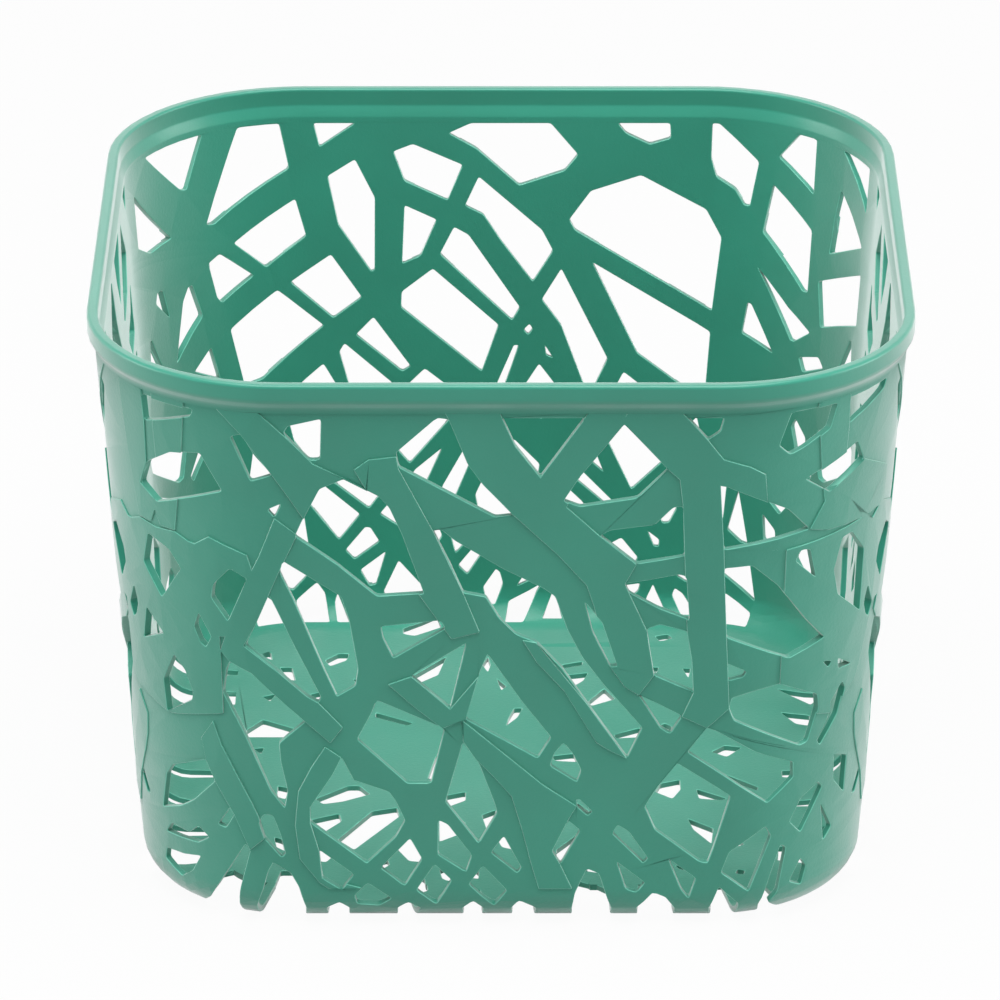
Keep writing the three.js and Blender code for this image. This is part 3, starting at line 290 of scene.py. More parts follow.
# The windows of the back, as they are seen through the basket from the front.
BACK_WINDOWS = [
    [(-58.2, 100), (-50.6, 90.5), (-49.4, 90), (-46, 100)],
    [(-63.3, 94.7), (-63.3, 84), (-59, 81), (-53.2, 81.6)],
    [(-40.1, 100), (-46, 81.8), (-44.7, 81.6), (-32.5, 91), (-33.8, 100)],
    [(-28.7, 100), (-27.8, 95.3), (-22.4, 100)],
    [(-31.6, 84.7), (-41.4, 76.9), (-36.3, 71.2), (-30, 77.2)],
    [(-46, 73.9), (-44.7, 66.6), (-43.9, 65.4), (-38.4, 69.8), (-43.9, 75.3)],
    [(-34.6, 66.3), (-42.6, 59.5), (-40.5, 47.5), (-37.3, 48.5), (-27.4, 58.9)],
    [(-26.2, 73.4), (-32.5, 67.8), (-25.9, 60.5), (-21.5, 64.7)],
    [(-26.6, 89.3), (-25, 79.5), (-20, 70), (-19.5, 70.3), (-19.4, 85), (-22.4, 92.7)],
    [(-16.5, 94.3), (-14.8, 88.4), (-8.2, 84.5), (-5.9, 91.6), (-13.5, 95.8)],
    [(-14.8, 83.4), (-15.2, 71.6), (-12.4, 73.2), (-9.9, 80.5)],
    [(-8, 98), (-3.8, 95), (2.8, 87.5), (9.8, 90.5), (11.8, 93.7), (7.6, 100), (-4.6, 100)],
    [(-3.4, 89.2), (-5.5, 83.4), (-2.7, 81.6), (0, 76.3), (4.9, 67.9), (8, 74.2), (6.3, 78.4)],
    [(-7.2, 79), (-9.4, 73.5), (1.7, 60), (2.9, 62.6), (-5, 77.4)],
    [(-10.5, 70.5), (-15.3, 65.8), (-15.4, 62.6), (-3, 49.5), (-0.4, 59)],
    [(-19.7, 60.6), (-22.4, 57), (-15.3, 49.5), (-14, 50.5)],
    [(-24.2, 55.2), (-25, 53.5), (-23.4, 46), (-20, 43.4), (-16.8, 47)],
    [(-27.5, 51), (-32.6, 45.2), (-33, 38.5), (-32.3, 35), (-29.6, 30.6), (-27.2, 31.5), (-25.4, 40),
     (-25.4, 46.4)],
    [(-11.8, 50), (-15.4, 45.5), (-12, 43.6), (-7.8, 46)],
    [(17.9, 100), (19.2, 98), (22.8, 95.8), (26, 97), (25.9, 100)],
    [(21.5, 89.5), (13.8, 86.3), (10.5, 80.5), (11.4, 78.4), (32.6, 62), (33.9, 77), (31.5, 82.6)],
    [(14.1, 71.8), (21.1, 53.2), (29.6, 45), (31.6, 43.6), (32.4, 57.6)],
    [(9.3, 70.5), (6.3, 64.2), (9.3, 59), (12.6, 47.5), (13.8, 44.2), (14.8, 47.5), (16.5, 52)],
    [(4.4, 59.2), (3.5, 58), (4.2, 57), (4.9, 58.2)],
    [(6.8, 54.8), (7, 52.8), (8, 52.3)],
    [(2.7, 54.8), (2, 54.8), (-1.6, 44), (-0.4, 43.4), (1.4, 49.8)],
    [(5.9, 51), (3.4, 46), (6.2, 39.6), (9.4, 45)],
    [(19, 49.3), (17.4, 45.4), (20, 43.8), (23, 45.2)],
    [(32.3, 100), (32.2, 93), (33, 89.3), (35.9, 87), (37.4, 84), (38.2, 84), (39.4, 93), (33.3, 100)],
    [(45.8, 100), (42.6, 94.7), (49, 89), (49, 100)],
    [(41.9, 88.9), (40.5, 79), (48, 69), (49, 69), (49.1, 81.6)],
    [(40, 71.5), (46.2, 58.4), (46.9, 58.3), (50, 61), (45.5, 64.7)],
    [(38.4, 64.2), (37.6, 57.9), (43, 54.8), (39, 64)],
    [(54.8, 100), (63, 91), (63, 100)],
    [(54.9, 92), (54, 87), (53.2, 78.4), (62.4, 83.7)],
    [(51.2, 72), (52.3, 63), (63, 68), (63, 78.4)],
    [(48.1, 55.3), (49, 52.6), (53.6, 55), (52.3, 56.8)],
    [(-50.2, 70.5), (-51.5, 68), (-54, 56.3), (-47.7, 63.7), (-49.4, 70.5)],
    [(-46.4, 56.8), (-50, 53), (-45, 50)],
    [(-37, 37.4), (-34.6, 40), (-36.4, 45.6), (-38.6, 43)],
    [(-39.5, 33.6), (-40.4, 27.8), (-38, 26.6), (-34.8, 27.4), (-34.6, 30.6), (-37.6, 34.2)],
    [(-30.8, 19.2), (-33.6, 24.2), (-38.2, 23.4), (-38.4, 19.4), (-33.6, 13.6), (-30.1, 13.4)],
    [(-22, 19.7), (-28.8, 27), (-30.6, 26.6), (-29.7, 21.6), (-25.3, 14.4)],
    [(-20.6, 21), (-18.6, 24.4), (-22, 34.4), (-25, 31.4), (-26.4, 26.8)],
    [(-18.9, 19.8), (-12.5, 14.4), (-10, 13.5), (-9.2, 15.2), (-11, 21), (-16.5, 23.5)],
    [(-24.3, 12.2), (-22.9, 10.3), (-19, 14), (-20.4, 16.9), (-21.2, 17)],
    [(-22, 8), (-20.6, 4.8), (-19.6, 5), (-18, 11.9)],
    [(-16, 10), (-18.4, 3.4), (-17.4, 0.8), (-12, 0.6), (-11.6, 3.6)],
    [(-30.4, 6.8), (-33, 11.4), (-37, 11), (-36, 5.6), (-33, 3.8)],
    [(-28.8, 5.4), (-32.4, 1.4), (-32, -4), (-26.8, -4), (-27.6, 3.2)],
    [(-25.6, 3), (-26, 1), (-25.6, -4), (-23.6, -4)],
    [(-41, -4), (-35, -4), (-35.2, 0), (-38, 2.8), (-40.4, 1.6)],
    [(-46, 13), (-41.6, 19.6), (-44, 25), (-48.4, 20)],
    [(-14.2, 30.4), (-8, 39.6), (-9.6, 41.2), (-13.8, 39.6), (-16, 33.1)],
    [(-9.2, 33.5), (-13.4, 29), (-14.6, 26), (-12.2, 25)],
    [(-4.4, 36.4), (-9.2, 25.4), (-8.6, 22.6), (-7.2, 23.4), (-4.4, 32)],
    [(-3, 26.6), (-4, 23.8), (-3.2, 18.8), (2.8, 18.4), (3.6, 22.6), (0.4, 26.8)],
    [(-1.6, 30.4), (-0.4, 36), (-1.4, 41.4), (-3.4, 38)],
    [(-7.1, 11.6), (-4.2, 15.8), (-6.4, 18.6), (-7.9, 15.6)],
    [(-5.3, 7.1), (-1.8, 14), (-3.4, 14.2), (-6.7, 9)],
    [(-0.8, 8.2), (-2.8, 4.4), (-2.2, 1), (-1, 0.4), (0.3, 5.2), (-0.2, 7.6)],
    [(-9.6, 1), (-8, 4.6), (-9.6, 11), (-11.4, 8)],
    [(2.5, 4.7), (6.6, 7.2), (5.6, 8.4), (3.6, 7)],
    [(6.4, 5.2), (1.2, 1.2), (0.6, -4), (3.4, -4), (5.6, 3.6)],
    [(8, 3), (6.4, -3), (9.6, -3), (8.6, 2.6)],
    [(2.4, 11.4), (7.4, 9.6), (10.6, 12.4), (8.2, 17), (4.6, 16.6)],
    [(11.6, 2), (14.6, 3), (15.2, 9), (13.4, 13), (10.4, 8)],
    [(2, 35.4), (0.8, 32.6), (2.6, 28.6), (5.6, 27.2), (6, 30.2)],
    [(20.3, 25), (25.8, 31.6), (26.4, 37.4), (20.4, 40.6), (17.4, 39.2), (16.4, 35.6)],
    [(15.9, 28.7), (14.9, 32), (14, 36.4), (12.6, 36), (13, 32)],
    [(11, 29.4), (11.6, 27.2), (16.6, 21.6), (17.6, 22.2), (11.8, 29.8)],
    [(10.4, 25.2), (8.8, 22.4), (10.6, 19), (13.4, 19.6), (12.8, 22.2)],
    [(18.8, 14.8), (16.6, 13.2), (17.4, 9.6), (20.4, 8.4), (21.4, 10.6)],
    [(22.9, 16.2), (23.9, 13.1), (24.6, 13), (24.7, 14.4)],
    [(25.2, 17.9), (26.2, 18), (27.4, 21), (26.6, 24), (24, 22)],
    [(18.6, 4.6), (19.6, 1.6), (21.4, 3.4), (21.8, 5.2)],
    [(23.8, 5), (22.8, 2), (22.4, -2), (26, -2), (24.4, 3)],
    [(27.2, 4.2), (26.8, 2.6), (28.2, -2), (30.6, -2), (28.4, 3)],
    [(27.4, 6.9), (29.2, 5.4), (30, 8), (28.4, 8)],
    [(28.6, 24), (31.4, 22), (32.2, 30), (30.4, 40), (27.6, 36)],
    [(31.6, 2), (33.4, 4), (32.8, 13), (31.4, 12)],
    [(35.8, 27.4), (33.2, 27), (33.6, 15.6), (34.6, 15), (35.3, 20)],
    [(37.9, 25.2), (36.1, 16.9), (38.6, 14.6), (39.9, 14.4)],
    [(42.6, 21.2), (43, 16.2), (44.2, 14.6), (45.4, 16.2), (45.2, 18.4)],
    [(45.9, 22), (49, 26.4), (48.6, 29.5), (43, 29.5), (42.6, 25.4)],
    [(50, 14.2), (52, 11.8), (56.5, 11.6), (56, 18), (52, 18.6)],
    [(41.8, 2.6), (40.4, 11), (35.6, 10.6), (35.4, 7.6)],
    [(36, 3.4), (35.4, -4), (41.4, -4), (41.4, -0.4)],
]

# The slits of the floor: right and back from its middle, in hundredths of its half width.
FLOOR_SLITS = [
    [(-68, -31), (-65, -35), (-58, -33), (-48, -27), (-52, -20), (-56, -20)],
    [(-69, -48), (-65, -59), (-58, -49), (-59, -43)],
    [(-59, -64), (-53, -72), (-37, -45), (-38, -38), (-47, -41)],
    [(-20, -28), (-19, -37), (-13, -32), (-13, -25)],
    [(-7, -44), (-5, -56), (-2, -48), (-2, -40)],
    [(-22.2, -65.5), (-14.6, -59.2), (-13, -50), (-17, -42), (-22.4, -44)],
    [(-37.6, -71), (-33, -81), (-28, -82), (-27, -64), (-31, -52), (-34, -52)],
    [(-65, -63), (-72, -66), (-71, -79), (-63, -82), (-59.5, -75)],
    [(-44, -82), (-43, -88), (-40, -84), (-41, -79.5)],
    [(-30.4, -102), (-26.7, -102), (-27.4, -95), (-28.9, -93)],
    [(-22, -88), (-21, -95), (-18.6, -97), (-17.6, -93), (-20.4, -86.4)],
    [(-10.8, -94), (-8.2, -95.4), (-7.9, -90), (-9, -87.5)],
    [(-80.6, -99), (-80.6, -104), (-69.9, -104), (-69.9, -89), (-79, -89)],
    [(25.1, -102), (31.9, -102), (31.9, -99.6), (25.1, -96)],
    [(49.4, -103), (60, -103), (58.8, -98.8), (54.4, -97.2), (50.4, -98.6)],
    [(30.5, -89), (34.8, -90.5), (35.6, -85), (31.6, -81.6)],
    [(39.4, -51), (43.6, -51.6), (44.4, -46), (40.6, -44.6)],
    [(62.6, -84.5), (64, -87.5), (68.6, -89.4), (66, -85)],
    [(82, -66), (84, -70), (88, -68), (86, -63)],
    [(84, -91), (87, -91.5), (87.5, -88.5), (85, -87.5)],
    [(-82, -62), (-81, -70), (-78, -73), (-79, -64)],
    [(-82, -20), (-82, -29), (-79, -31), (-78, -22)],
    [(68, -47), (70, -56), (76, -67), (77, -55)],
    [(28, -34), (28, -40), (32, -47), (32, -41)],
    [(20, -72), (20, -84), (25, -71), (27, -61)],
    [(-2, -60), (0.4, -70), (4.8, -72), (3, -58), (0.6, -53), (-2, -56)],
    [(-95, 27), (-95, 21), (-80, 21), (-77, 28), (-89, 36)],
    [(-67, 88), (-65, 83), (-59, 88), (-58, 94), (-62, 94)],
    [(-72, 58), (-70, 53), (-67, 52), (-68, 60)],
    [(-35, 72), (-31, 68), (-24, 75), (-21, 91)],
    [(-7, 84), (-5, 78), (-4, 84), (-5, 91)],
    [(2, 31), (6, 38), (8, 46), (5, 46), (3, 38)],
    [(-47, 42), (-47, 38), (-35, 31), (-33, 33)],
    [(23, 84), (24, 81), (31, 84), (31, 87)],
    [(25, 75), (26, 70), (28, 66), (31, 70), (33, 77)],
    [(33, 52), (34, 48), (43, 54), (39, 63)],
    [(42, 23), (43, 20), (52, 21), (52, 29)],
    [(59, 30), (62, 22), (64, 30), (61, 33)],
    [(57, 82), (59, 77), (60, 82)],
    [(69, 81), (71, 73), (72, 81)],
    [(19, 5), (20, 1), (28, 0), (27, 7)],
    [(-27, -14), (-25, -14), (-22, 5), (-24, 5)],
    [(-92, 11), (-89, 7), (-88, 12)],
    [(-90, 56), (-87, 52), (-85, 58)],
    [(83.6, 4.4), (89.4, 12.3), (83.2, 13.9), (78.1, 8.5)],
    [(82.3, -15), (93.8, -23.7), (94.5, -21.3), (82.5, -10.3)],
    [(56.6, -25), (62.7, -30.5), (65.9, -22.8), (65.8, -15), (58.6, -18.2)],
    [(72.6, -30.5), (80.5, -31.8), (82.6, -30.5), (71.8, -22.8)],
    [(-80.2, 71), (-77.8, 70.1), (-79.5, 81.7), (-84.1, 81.7)],
    [(-90, 90.9), (-87.1, 88.3), (-88, 95), (-93.1, 98.4)],
    [(0.2, 61.8), (2, 65), (-1.5, 71.6)],
    [(-53.9, 65.7), (-52.5, 70.1), (-56.1, 71.6)],
]

# The branches that stand proud, placed as the front's windows are.
RAISED_BRANCHES = [
    [(-18.4, 92), (-20.5, 90), (-18, 84), (-15, 77), (-12, 66), (-7, 56.2), (-3, 57.6), (-5.2, 65),
     (-9.5, 77.8), (-14.3, 90.2), (-14.6, 92.6)],
    [(-41, 104), (-35.8, 96.5), (-31.8, 88.8), (-27, 79), (-17, 84.8), (-21.5, 88), (-26.2, 91.2),
     (-28.6, 94.6), (-33.8, 101.6), (-36, 104)],
    [(-60, 73), (-60, 40), (-50.5, 37), (-45, 41.4), (-43.2, 47), (-42, 52), (-41.3, 55.3), (-38, 56),
     (-34, 66), (-35.5, 72.7), (-41, 75.4), (-43.5, 73.2), (-46.5, 74.8)],
    [(-31.6, 80.4), (-33.9, 72.5), (-35.6, 68), (-38, 60), (-40, 53), (-38.6, 50.8), (-35.4, 48.9),
     (-27.7, 39.3), (-24.2, 35), (-22.4, 38.2), (-25.8, 43.2), (-31.5, 49.5), (-36.4, 54.4), (-34.5, 59),
     (-31, 70), (-28.5, 77)],
    [(-8.9, 104), (-7.2, 99.7), (-4.6, 91), (-2.5, 87), (1.8, 80.9), (8, 73), (12, 67), (13, 63),
     (15.4, 50.5), (17.5, 46.5), (19.5, 44.8), (21.6, 48.8), (20.5, 58), (18, 65.4), (17.4, 67.2),
     (19, 71.2), (13.9, 76.8), (9.2, 82.6), (11, 88.6), (14.8, 95), (17.1, 99), (18, 104), (13.6, 104),
     (5.5, 88.5), (2, 94.6), (0.2, 100), (-0.8, 104)],
    [(3, 56), (5, 51.5), (9, 45.5), (13.6, 35), (15.2, 33.6), (17.9, 31.8), (12.4, 42.6), (5, 55.4)],
    [(-5.4, 39.6), (-5.4, 35.4), (-3.8, 32), (-1, 28), (1.5, 24), (3, 17), (4.3, 10), (6.8, -2),
     (10.6, -2), (10.6, 3.6), (8.5, 9.8), (9.5, 18.9), (10.8, 22), (6, 26.4), (1, 32.2)],
    [(-16, 47), (-12, 42), (-8.3, 38), (-5, 39.8), (-3.2, 48.6), (-7.2, 42), (-12.7, 48.6)],
    [(19, 104), (16.5, 99), (23.3, 90), (24.9, 88), (25.4, 82.6), (25.7, 72.7), (26.2, 57.6), (27.2, 45.3),
     (25.6, 40.4), (29.2, 38.1), (32.4, 42), (31.8, 56.4), (31.2, 74), (30.6, 86.8), (37, 83),
     (36.6, 88.6), (34.6, 90.3), (31, 92), (28.8, 95.8), (26, 100), (23.2, 104)],
    [(45.4, 75.4), (50, 74.8), (60, 74.6), (60, 82), (53, 86.5), (46.4, 82.7), (43.5, 76.2)],
    [(-41.8, 38), (-44, 34), (-43.4, 29.6), (-42, 25.6), (-39, 19.4), (-36.6, 12.4), (-34.2, 15),
     (-35, 19.5), (-36.3, 23), (-40.6, 33.5)],
    [(-25, 34.2), (-27, 30), (-28.9, 25), (-29.4, 18), (-28.8, 11), (-26, 6), (-22, 2.2), (-20, 5),
     (-25.6, 7), (-26, 12.7), (-27.2, 18.5), (-27.2, 21.8), (-24, 28.4), (-22.7, 32)],
    [(-56.5, 104), (-55.2, 88), (-53.6, 75), (-51, 75), (-49.4, 79.6), (-52.7, 82), (-51, 86.8),
     (-50.8, 95), (-51, 104)],
]

# Slits on the border between floor and bottom edge: the side, and points placed as the floor's are.
BORDER_SLITS = [
    (RIGHT, [(104.3, 62.7), (119, 57.8), (119.1, 51.3), (116.8, 48.7), (108.4, 57.8)]),
    (RIGHT, [(105, 42.2), (115.9, 39.6), (115.1, 30.9), (110.3, 32.5)]),
    (BACK, [(-37.6, 116.9), (-24.6, 123.8), (-22.9, 118), (-33.1, 110.2), (-37.5, 111.9)]),
    (BACK, [(59.1, 109.7), (64.1, 111.5), (65.6, 107.9), (60.9, 105.2)]),
]


def linear(colour):
    """A colour written in sRGB, as the linear colour that a socket takes."""
    parts = [value / SRGB_FULL for value in colour]
    return tuple(
        v / SRGB_DARK_SLOPE if v <= SRGB_DARK_END else ((v + SRGB_LIFT) / (1 + SRGB_LIFT)) ** SRGB_POWER
        for v in parts
    ) + (1,)


def activate(obj):
    """Makes an object the only one chosen, and the active one."""
    bpy.ops.object.select_all(action="DESELECT")
    obj.select_set(True)
    bpy.context.view_layer.objects.active = obj


def edit_mesh(obj, mode="FACE"):
    """Opens a piece in edit mode with nothing chosen, and gives its mesh for choosing by place."""
    activate(obj)
    bpy.ops.object.mode_set(mode="EDIT")
    bpy.ops.mesh.select_mode(type=mode)
    bpy.ops.mesh.select_all(action="DESELECT")
    return bmesh.from_edit_mesh(obj.data)


def close_mesh():
    """Leaves edit mode."""
    bpy.ops.object.mode_set(mode="OBJECT")


def apply_modifier(obj, kind, **settings):
    """Gives a piece a modifier and makes its result the piece's own mesh."""
    activate(obj)
    modifier = obj.modifiers.new(kind.lower(), kind)
    for name, value in settings.items():
        setattr(modifier, name, value)
    bpy.ops.object.modifier_apply(modifier=modifier.name)


# The walls are made flat, as one strip: x runs round the basket, y up the section from the floor's
# border to the rim, and z out of the outer face.
def on_strip(outline, side):
    """An outline of the wall tables, laid on the strip at one side of the basket."""
    return [
        ((u / HUNDREDTHS + side) * PITCH, FOOT_LINE + v / HUNDREDTHS * OPENWORK_RUN) for u, v in outline
    ]


def on_border(outline, side):
    """An outline in hundredths of the floor, laid on the strip's border below one side."""
    placed = []
    for x, y in outline:
        for _ in range(side):
            x, y = y, -x
        along, out = side * PITCH + x / HUNDREDTHS * FLOOR_HALF, -y / HUNDREDTHS * FLOOR_HALF
        placed.append((along, out - EDGE_CENTRE))
    return placed


def mirrored(outline):
    """An outline turned left to right."""
    return [(-u, v) for u, v in reversed(outline)]


def reach(point, a, b):
    """The distance from a point to a line between two points."""
    run = (b[0] - a[0], b[1] - a[1])
    length = run[0] ** 2 + run[1] ** 2
    share = min(1, max(0, ((point[0] - a[0]) * run[0] + (point[1] - a[1]) * run[1]) / length))
    return math.hypot(point[0] - a[0] - share * run[0], point[1] - a[1] - share * run[1])


def inside(point, outline):
    """Whether a point lies inside an outline."""
    odd = False
    for a, b in zip(outline, outline[1:] + outline[:1]):
        if (a[1] > point[1]) != (b[1] > point[1]):
            if point[0] < a[0] + (point[1] - a[1]) * (b[0] - a[0]) / (b[1] - a[1]):
                odd = not odd
    return odd


def box_of(outline):
    """The box round an outline and the bar beside it: left, right, low and high."""
    xs, ys = [p[0] for p in outline], [p[1] for p in outline]
    return min(xs) - BAR_MIN, max(xs) + BAR_MIN, min(ys) - BAR_MIN, max(ys) + BAR_MIN


def clears(one, other):
    """Whether two windows leave a bar between them."""
    a, b = box_of(one), box_of(other)
    if a[1] < b[0] or b[1] < a[0] or a[3] < b[2] or b[3] < a[2]:
        return True
    for first, second in ((one, other), (other, one)):
        for point in first:
            if inside(point, second):
                return False
            if any(reach(point, p, q) < BAR_MIN for p, q in zip(second, second[1:] + second[:1])):
                return False
    return True


def all_windows():
    """The windows of the whole strip. The sides take those of the front and back, where they fit."""
    front = FRONT_WINDOWS + FOOT_WINDOWS
    rounds = [
        (front, FRONT),
        ([mirrored(o) for o in BACK_WINDOWS], BACK),
        ([mirrored(o) for o in FOOT_WINDOWS], BACK),
        (front, RIGHT),
        ([mirrored(o) for o in front], LEFT),
        (BACK_WINDOWS, RIGHT),
        ([mirrored(o) for o in BACK_WINDOWS], LEFT),
    ]
    kept = [on_border(outline, side) for side, outline in BORDER_SLITS]
    for outlines, side in rounds:
        placed = [on_strip(outline, side) for outline in outlines]
        for turn in (0, -SIDES, SIDES):
            for outline in placed:
                moved = [(x + turn * PITCH, y) for x, y in outline]
                if all(clears(moved, other) for other in kept):
                    kept.append(moved)
    return [o for o in kept if max(p[0] for p in o) > STRIP_START and min(p[0] for p in o) < STRIP_END]


def rounded(outline):
    """An outline with its corners rounded, less where its sides are short."""
    points = []
    count = len(outline)
    for i, corner in enumerate(outline):
        here = Vector(corner)
        back, ahead = Vector(outline[i - 1]) - here, Vector(outline[(i + 1) % count]) - here
        trim = min(WINDOW_R, back.length * WINDOW_R_SHARE, ahead.length * WINDOW_R_SHARE)
        start, end = here + back.normalized() * trim, here + ahead.normalized() * trim
        middle = start * CURVE_END_WEIGHT + here * CURVE_CORNER_WEIGHT + end * CURVE_END_WEIGHT
        points += [start, middle, end]
    return [tuple(p) for p in points]


def held(outline, axis, level, keep_above):
    """The part of an outline on one side of a level line."""
    kept = []
    for a, b in zip(outline, outline[1:] + outline[:1]):
        a_in, b_in = (a[axis] >= level) == keep_above, (b[axis] >= level) == keep_above
        if a_in:
            kept.append(a)
        if a_in != b_in:
            share = (level - a[axis]) / (b[axis] - a[axis])
            kept.append(tuple(p + (q - p) * share for p, q in zip(a, b)))
    return kept


def slabs(name, outlines, low, high):
    """One object of straight-sided blocks that stand on outlines."""
    points, faces = [], []
    for outline in outlines:
        faces.append(list(range(len(points), len(points) + len(outline))))
        points += [(x, y, low) for x, y in outline]
    mesh = bpy.data.meshes.new(name)
    mesh.from_pydata(points, [], faces)
    blocks = bpy.data.objects.new(name, mesh)
    bpy.context.collection.objects.link(blocks)
    edit_mesh(blocks)
    bpy.ops.mesh.select_all(action="SELECT")
    bpy.ops.mesh.extrude_region_move(TRANSFORM_OT_translate={"value": (0, 0, high - low)})
    bpy.ops.mesh.select_all(action="SELECT")
    bpy.ops.mesh.normals_make_consistent(inside=False)
    close_mesh()
    return blocks


def triangulate(piece):
    """Splits the wide and many-sided faces of a piece, so that later steps keep them flat."""
    edit_mesh(piece)
    bpy.ops.mesh.select_all(action="SELECT")
    bpy.ops.mesh.quads_convert_to_tris(quad_method="BEAUTY", ngon_method="BEAUTY")
    close_mesh()


def cut(piece, cutter, operation, **settings):
    """Cuts a piece with another, or joins the two, and removes the other."""
    apply_modifier(piece, "BOOLEAN", object=cutter, operation=operation, solver="EXACT", **settings)
    bpy.data.objects.remove(cutter)
    triangulate(piece)


def raised_branches():
    """The outlines of the branches that stand a little proud of the walls."""
    outlines = []
    for side in range(-1, SIDES + 1):
        for branch in RAISED_BRANCHES:
            outline = on_strip(mirrored(branch) if side % SIDES >= BACK else branch, side)
            for axis, level, above in (
                (0, STRIP_START, True),
                (0, STRIP_END, False),
                (1, EDGE_RUN + TOP_BAND, True),
                (1, PATH_TOP, False),
            ):
                outline = held(outline, axis, level, above) if len(outline) >= MIN_CORNERS else []
            if len(outline) >= MIN_CORNERS:
                outlines.append(outline)
    return outlines


def soften(piece, levels, open_ends, relief):
    """Eases the sharp edges, as a mould leaves them, and marks the crest of each for a painted highlight."""
    mesh = edit_mesh(piece, "EDGE")
    weight = mesh.edges.layers.float.new("bevel_weight_edge")
    for edge in mesh.edges:
        if not edge.is_manifold or edge.calc_face_angle(0) < SHARP_TURN:
            continue
        if open_ends(edge) or not edge.is_convex:
            continue
        low = min(v.co.z for v in edge.verts)
        edge[weight] = RELIEF_EASE_SHARE if relief and low > WELD else 1
    bmesh.update_edit_mesh(piece.data)
    close_mesh()
    apply_modifier(
        piece,
        "BEVEL",
        limit_method="WEIGHT",
        width=EDGE_EASE,
        segments=EDGE_EASE_SEGMENTS,
        use_clamp_overlap=False,
    )
    # The points on each rounded edge are marked for a painted highlight.
    crest = piece.data.attributes.new("crest", "FLOAT", "POINT")
    for vert in piece.data.vertices:
        off = min(abs(vert.co.z - level) for level in levels)
        crest.data[vert.index].value = 1 if CREST_NEAR < off < CREST_FAR else 0


def flat_walls():
    """The strip of the walls, cut and raised while it is flat."""
    bpy.ops.mesh.primitive_cube_add()
    strip = bpy.context.object
    strip.name = "openwork"
    for vert in strip.data.vertices:
        x, y, z = vert.co
        vert.co = (
            STRIP_START if x < 0 else STRIP_END,
            -FLOOR_BORDER if y < 0 else PATH_TOP,
            -SHELL if z < 0 else 0,
        )
    cut(strip, slabs("branches", raised_branches(), -SHELL / 2, RELIEF), "UNION", use_self=True)
    windows = [rounded(outline) for outline in all_windows()]
    cut(strip, slabs("windows", windows, -SHELL - OVERRUN, RELIEF + OVERRUN), "DIFFERENCE")
    return strip


def at_strip_end(edge):
    """Whether an edge lies where the strip closes on itself or meets the rim or the floor."""
    for axis, level in ((0, STRIP_START), (0, STRIP_END), (1, -FLOOR_BORDER), (1, PATH_TOP)):
        if all(abs(v.co[axis] - level) < WELD for v in edge.verts):
            return True
    return False


def section(run):
    """The half width and height of the outer face at a distance up the section, and the way out of it."""
    if run <= 0:
        return EDGE_CENTRE + run, 0, (0, -1)
    turn = min(EDGE_TURN, run / EDGE_ROUND_R)
    up = max(0, run - EDGE_RUN)
    half = EDGE_CENTRE + EDGE_ROUND_R * math.sin(turn) + up * math.sin(DRAFT)
    height = EDGE_ROUND_R * (1 - math.cos(turn)) + up * math.cos(DRAFT)
    return half, height, (math.sin(turn), -math.cos(turn))


def around(run, half):
    """Where a distance round the basket stands at a half width."""
    side = math.floor((run + CENTRE) / PITCH + WELD)
    local = run - side * PITCH
    x, y = local, -half
    if local > CENTRE:
        turn = min(QUARTER, (local - CENTRE) / CORNER_RUN * QUARTER)
        x = CENTRE + (half - CENTRE) * math.sin(turn)
        y = -CENTRE - (half - CENTRE) * math.cos(turn)
    for _ in range(side % SIDES):
        x, y = -y, x
    return x, y


def half_width(point):
    """The half width of the rounded square, round the basket's axis, that goes through a point."""
    across, deep = abs(point.x) - CENTRE, abs(point.y) - CENTRE
    if across > 0 and deep > 0:
        return CENTRE + math.hypot(across, deep)
    return max(abs(point.x), abs(point.y))


def stations():
    """The distances round the basket at which the corners are stepped."""
    step = CORNER_RUN / CORNER_STEPS
    return [side * PITCH - CENTRE - i * step for side in range(SIDES) for i in range(CORNER_STEPS, -1, -1)]


def between(point, start, end):
    """Whether a point lies on the line between two others, away from its ends."""
    run = end - start
    along = (point - start).dot(run) / run.length
    off = (point - start - run * (along / run.length)).length
    return WELD < along < run.length - WELD and off < WELD


def close_seam(strip):
    """Joins the two ends of the strip, where each takes the points of the other."""
    edit_mesh(strip, "VERT")
    for _ in range(SEAM_ROUNDS):
        bpy.ops.mesh.select_all(action="SELECT")
        bpy.ops.mesh.remove_doubles(threshold=WELD)
        mesh = bmesh.from_edit_mesh(strip.data)
        open_edges = [edge for edge in mesh.edges if edge.is_boundary]
        points = list({vert for edge in open_edges for vert in edge.verts})
        for edge in open_edges:
            start, end = edge.verts
            met = [v for v in points if v not in (start, end) and between(v.co, start.co, end.co)]
            if met:
                bmesh.utils.edge_split(edge, start, (met[0].co - start.co).length / edge.calc_length())
        bmesh.update_edit_mesh(strip.data)
    bpy.ops.mesh.select_all(action="SELECT")
    bpy.ops.mesh.remove_doubles(threshold=WELD)
    bpy.ops.mesh.normals_make_consistent(inside=False)
    close_mesh()


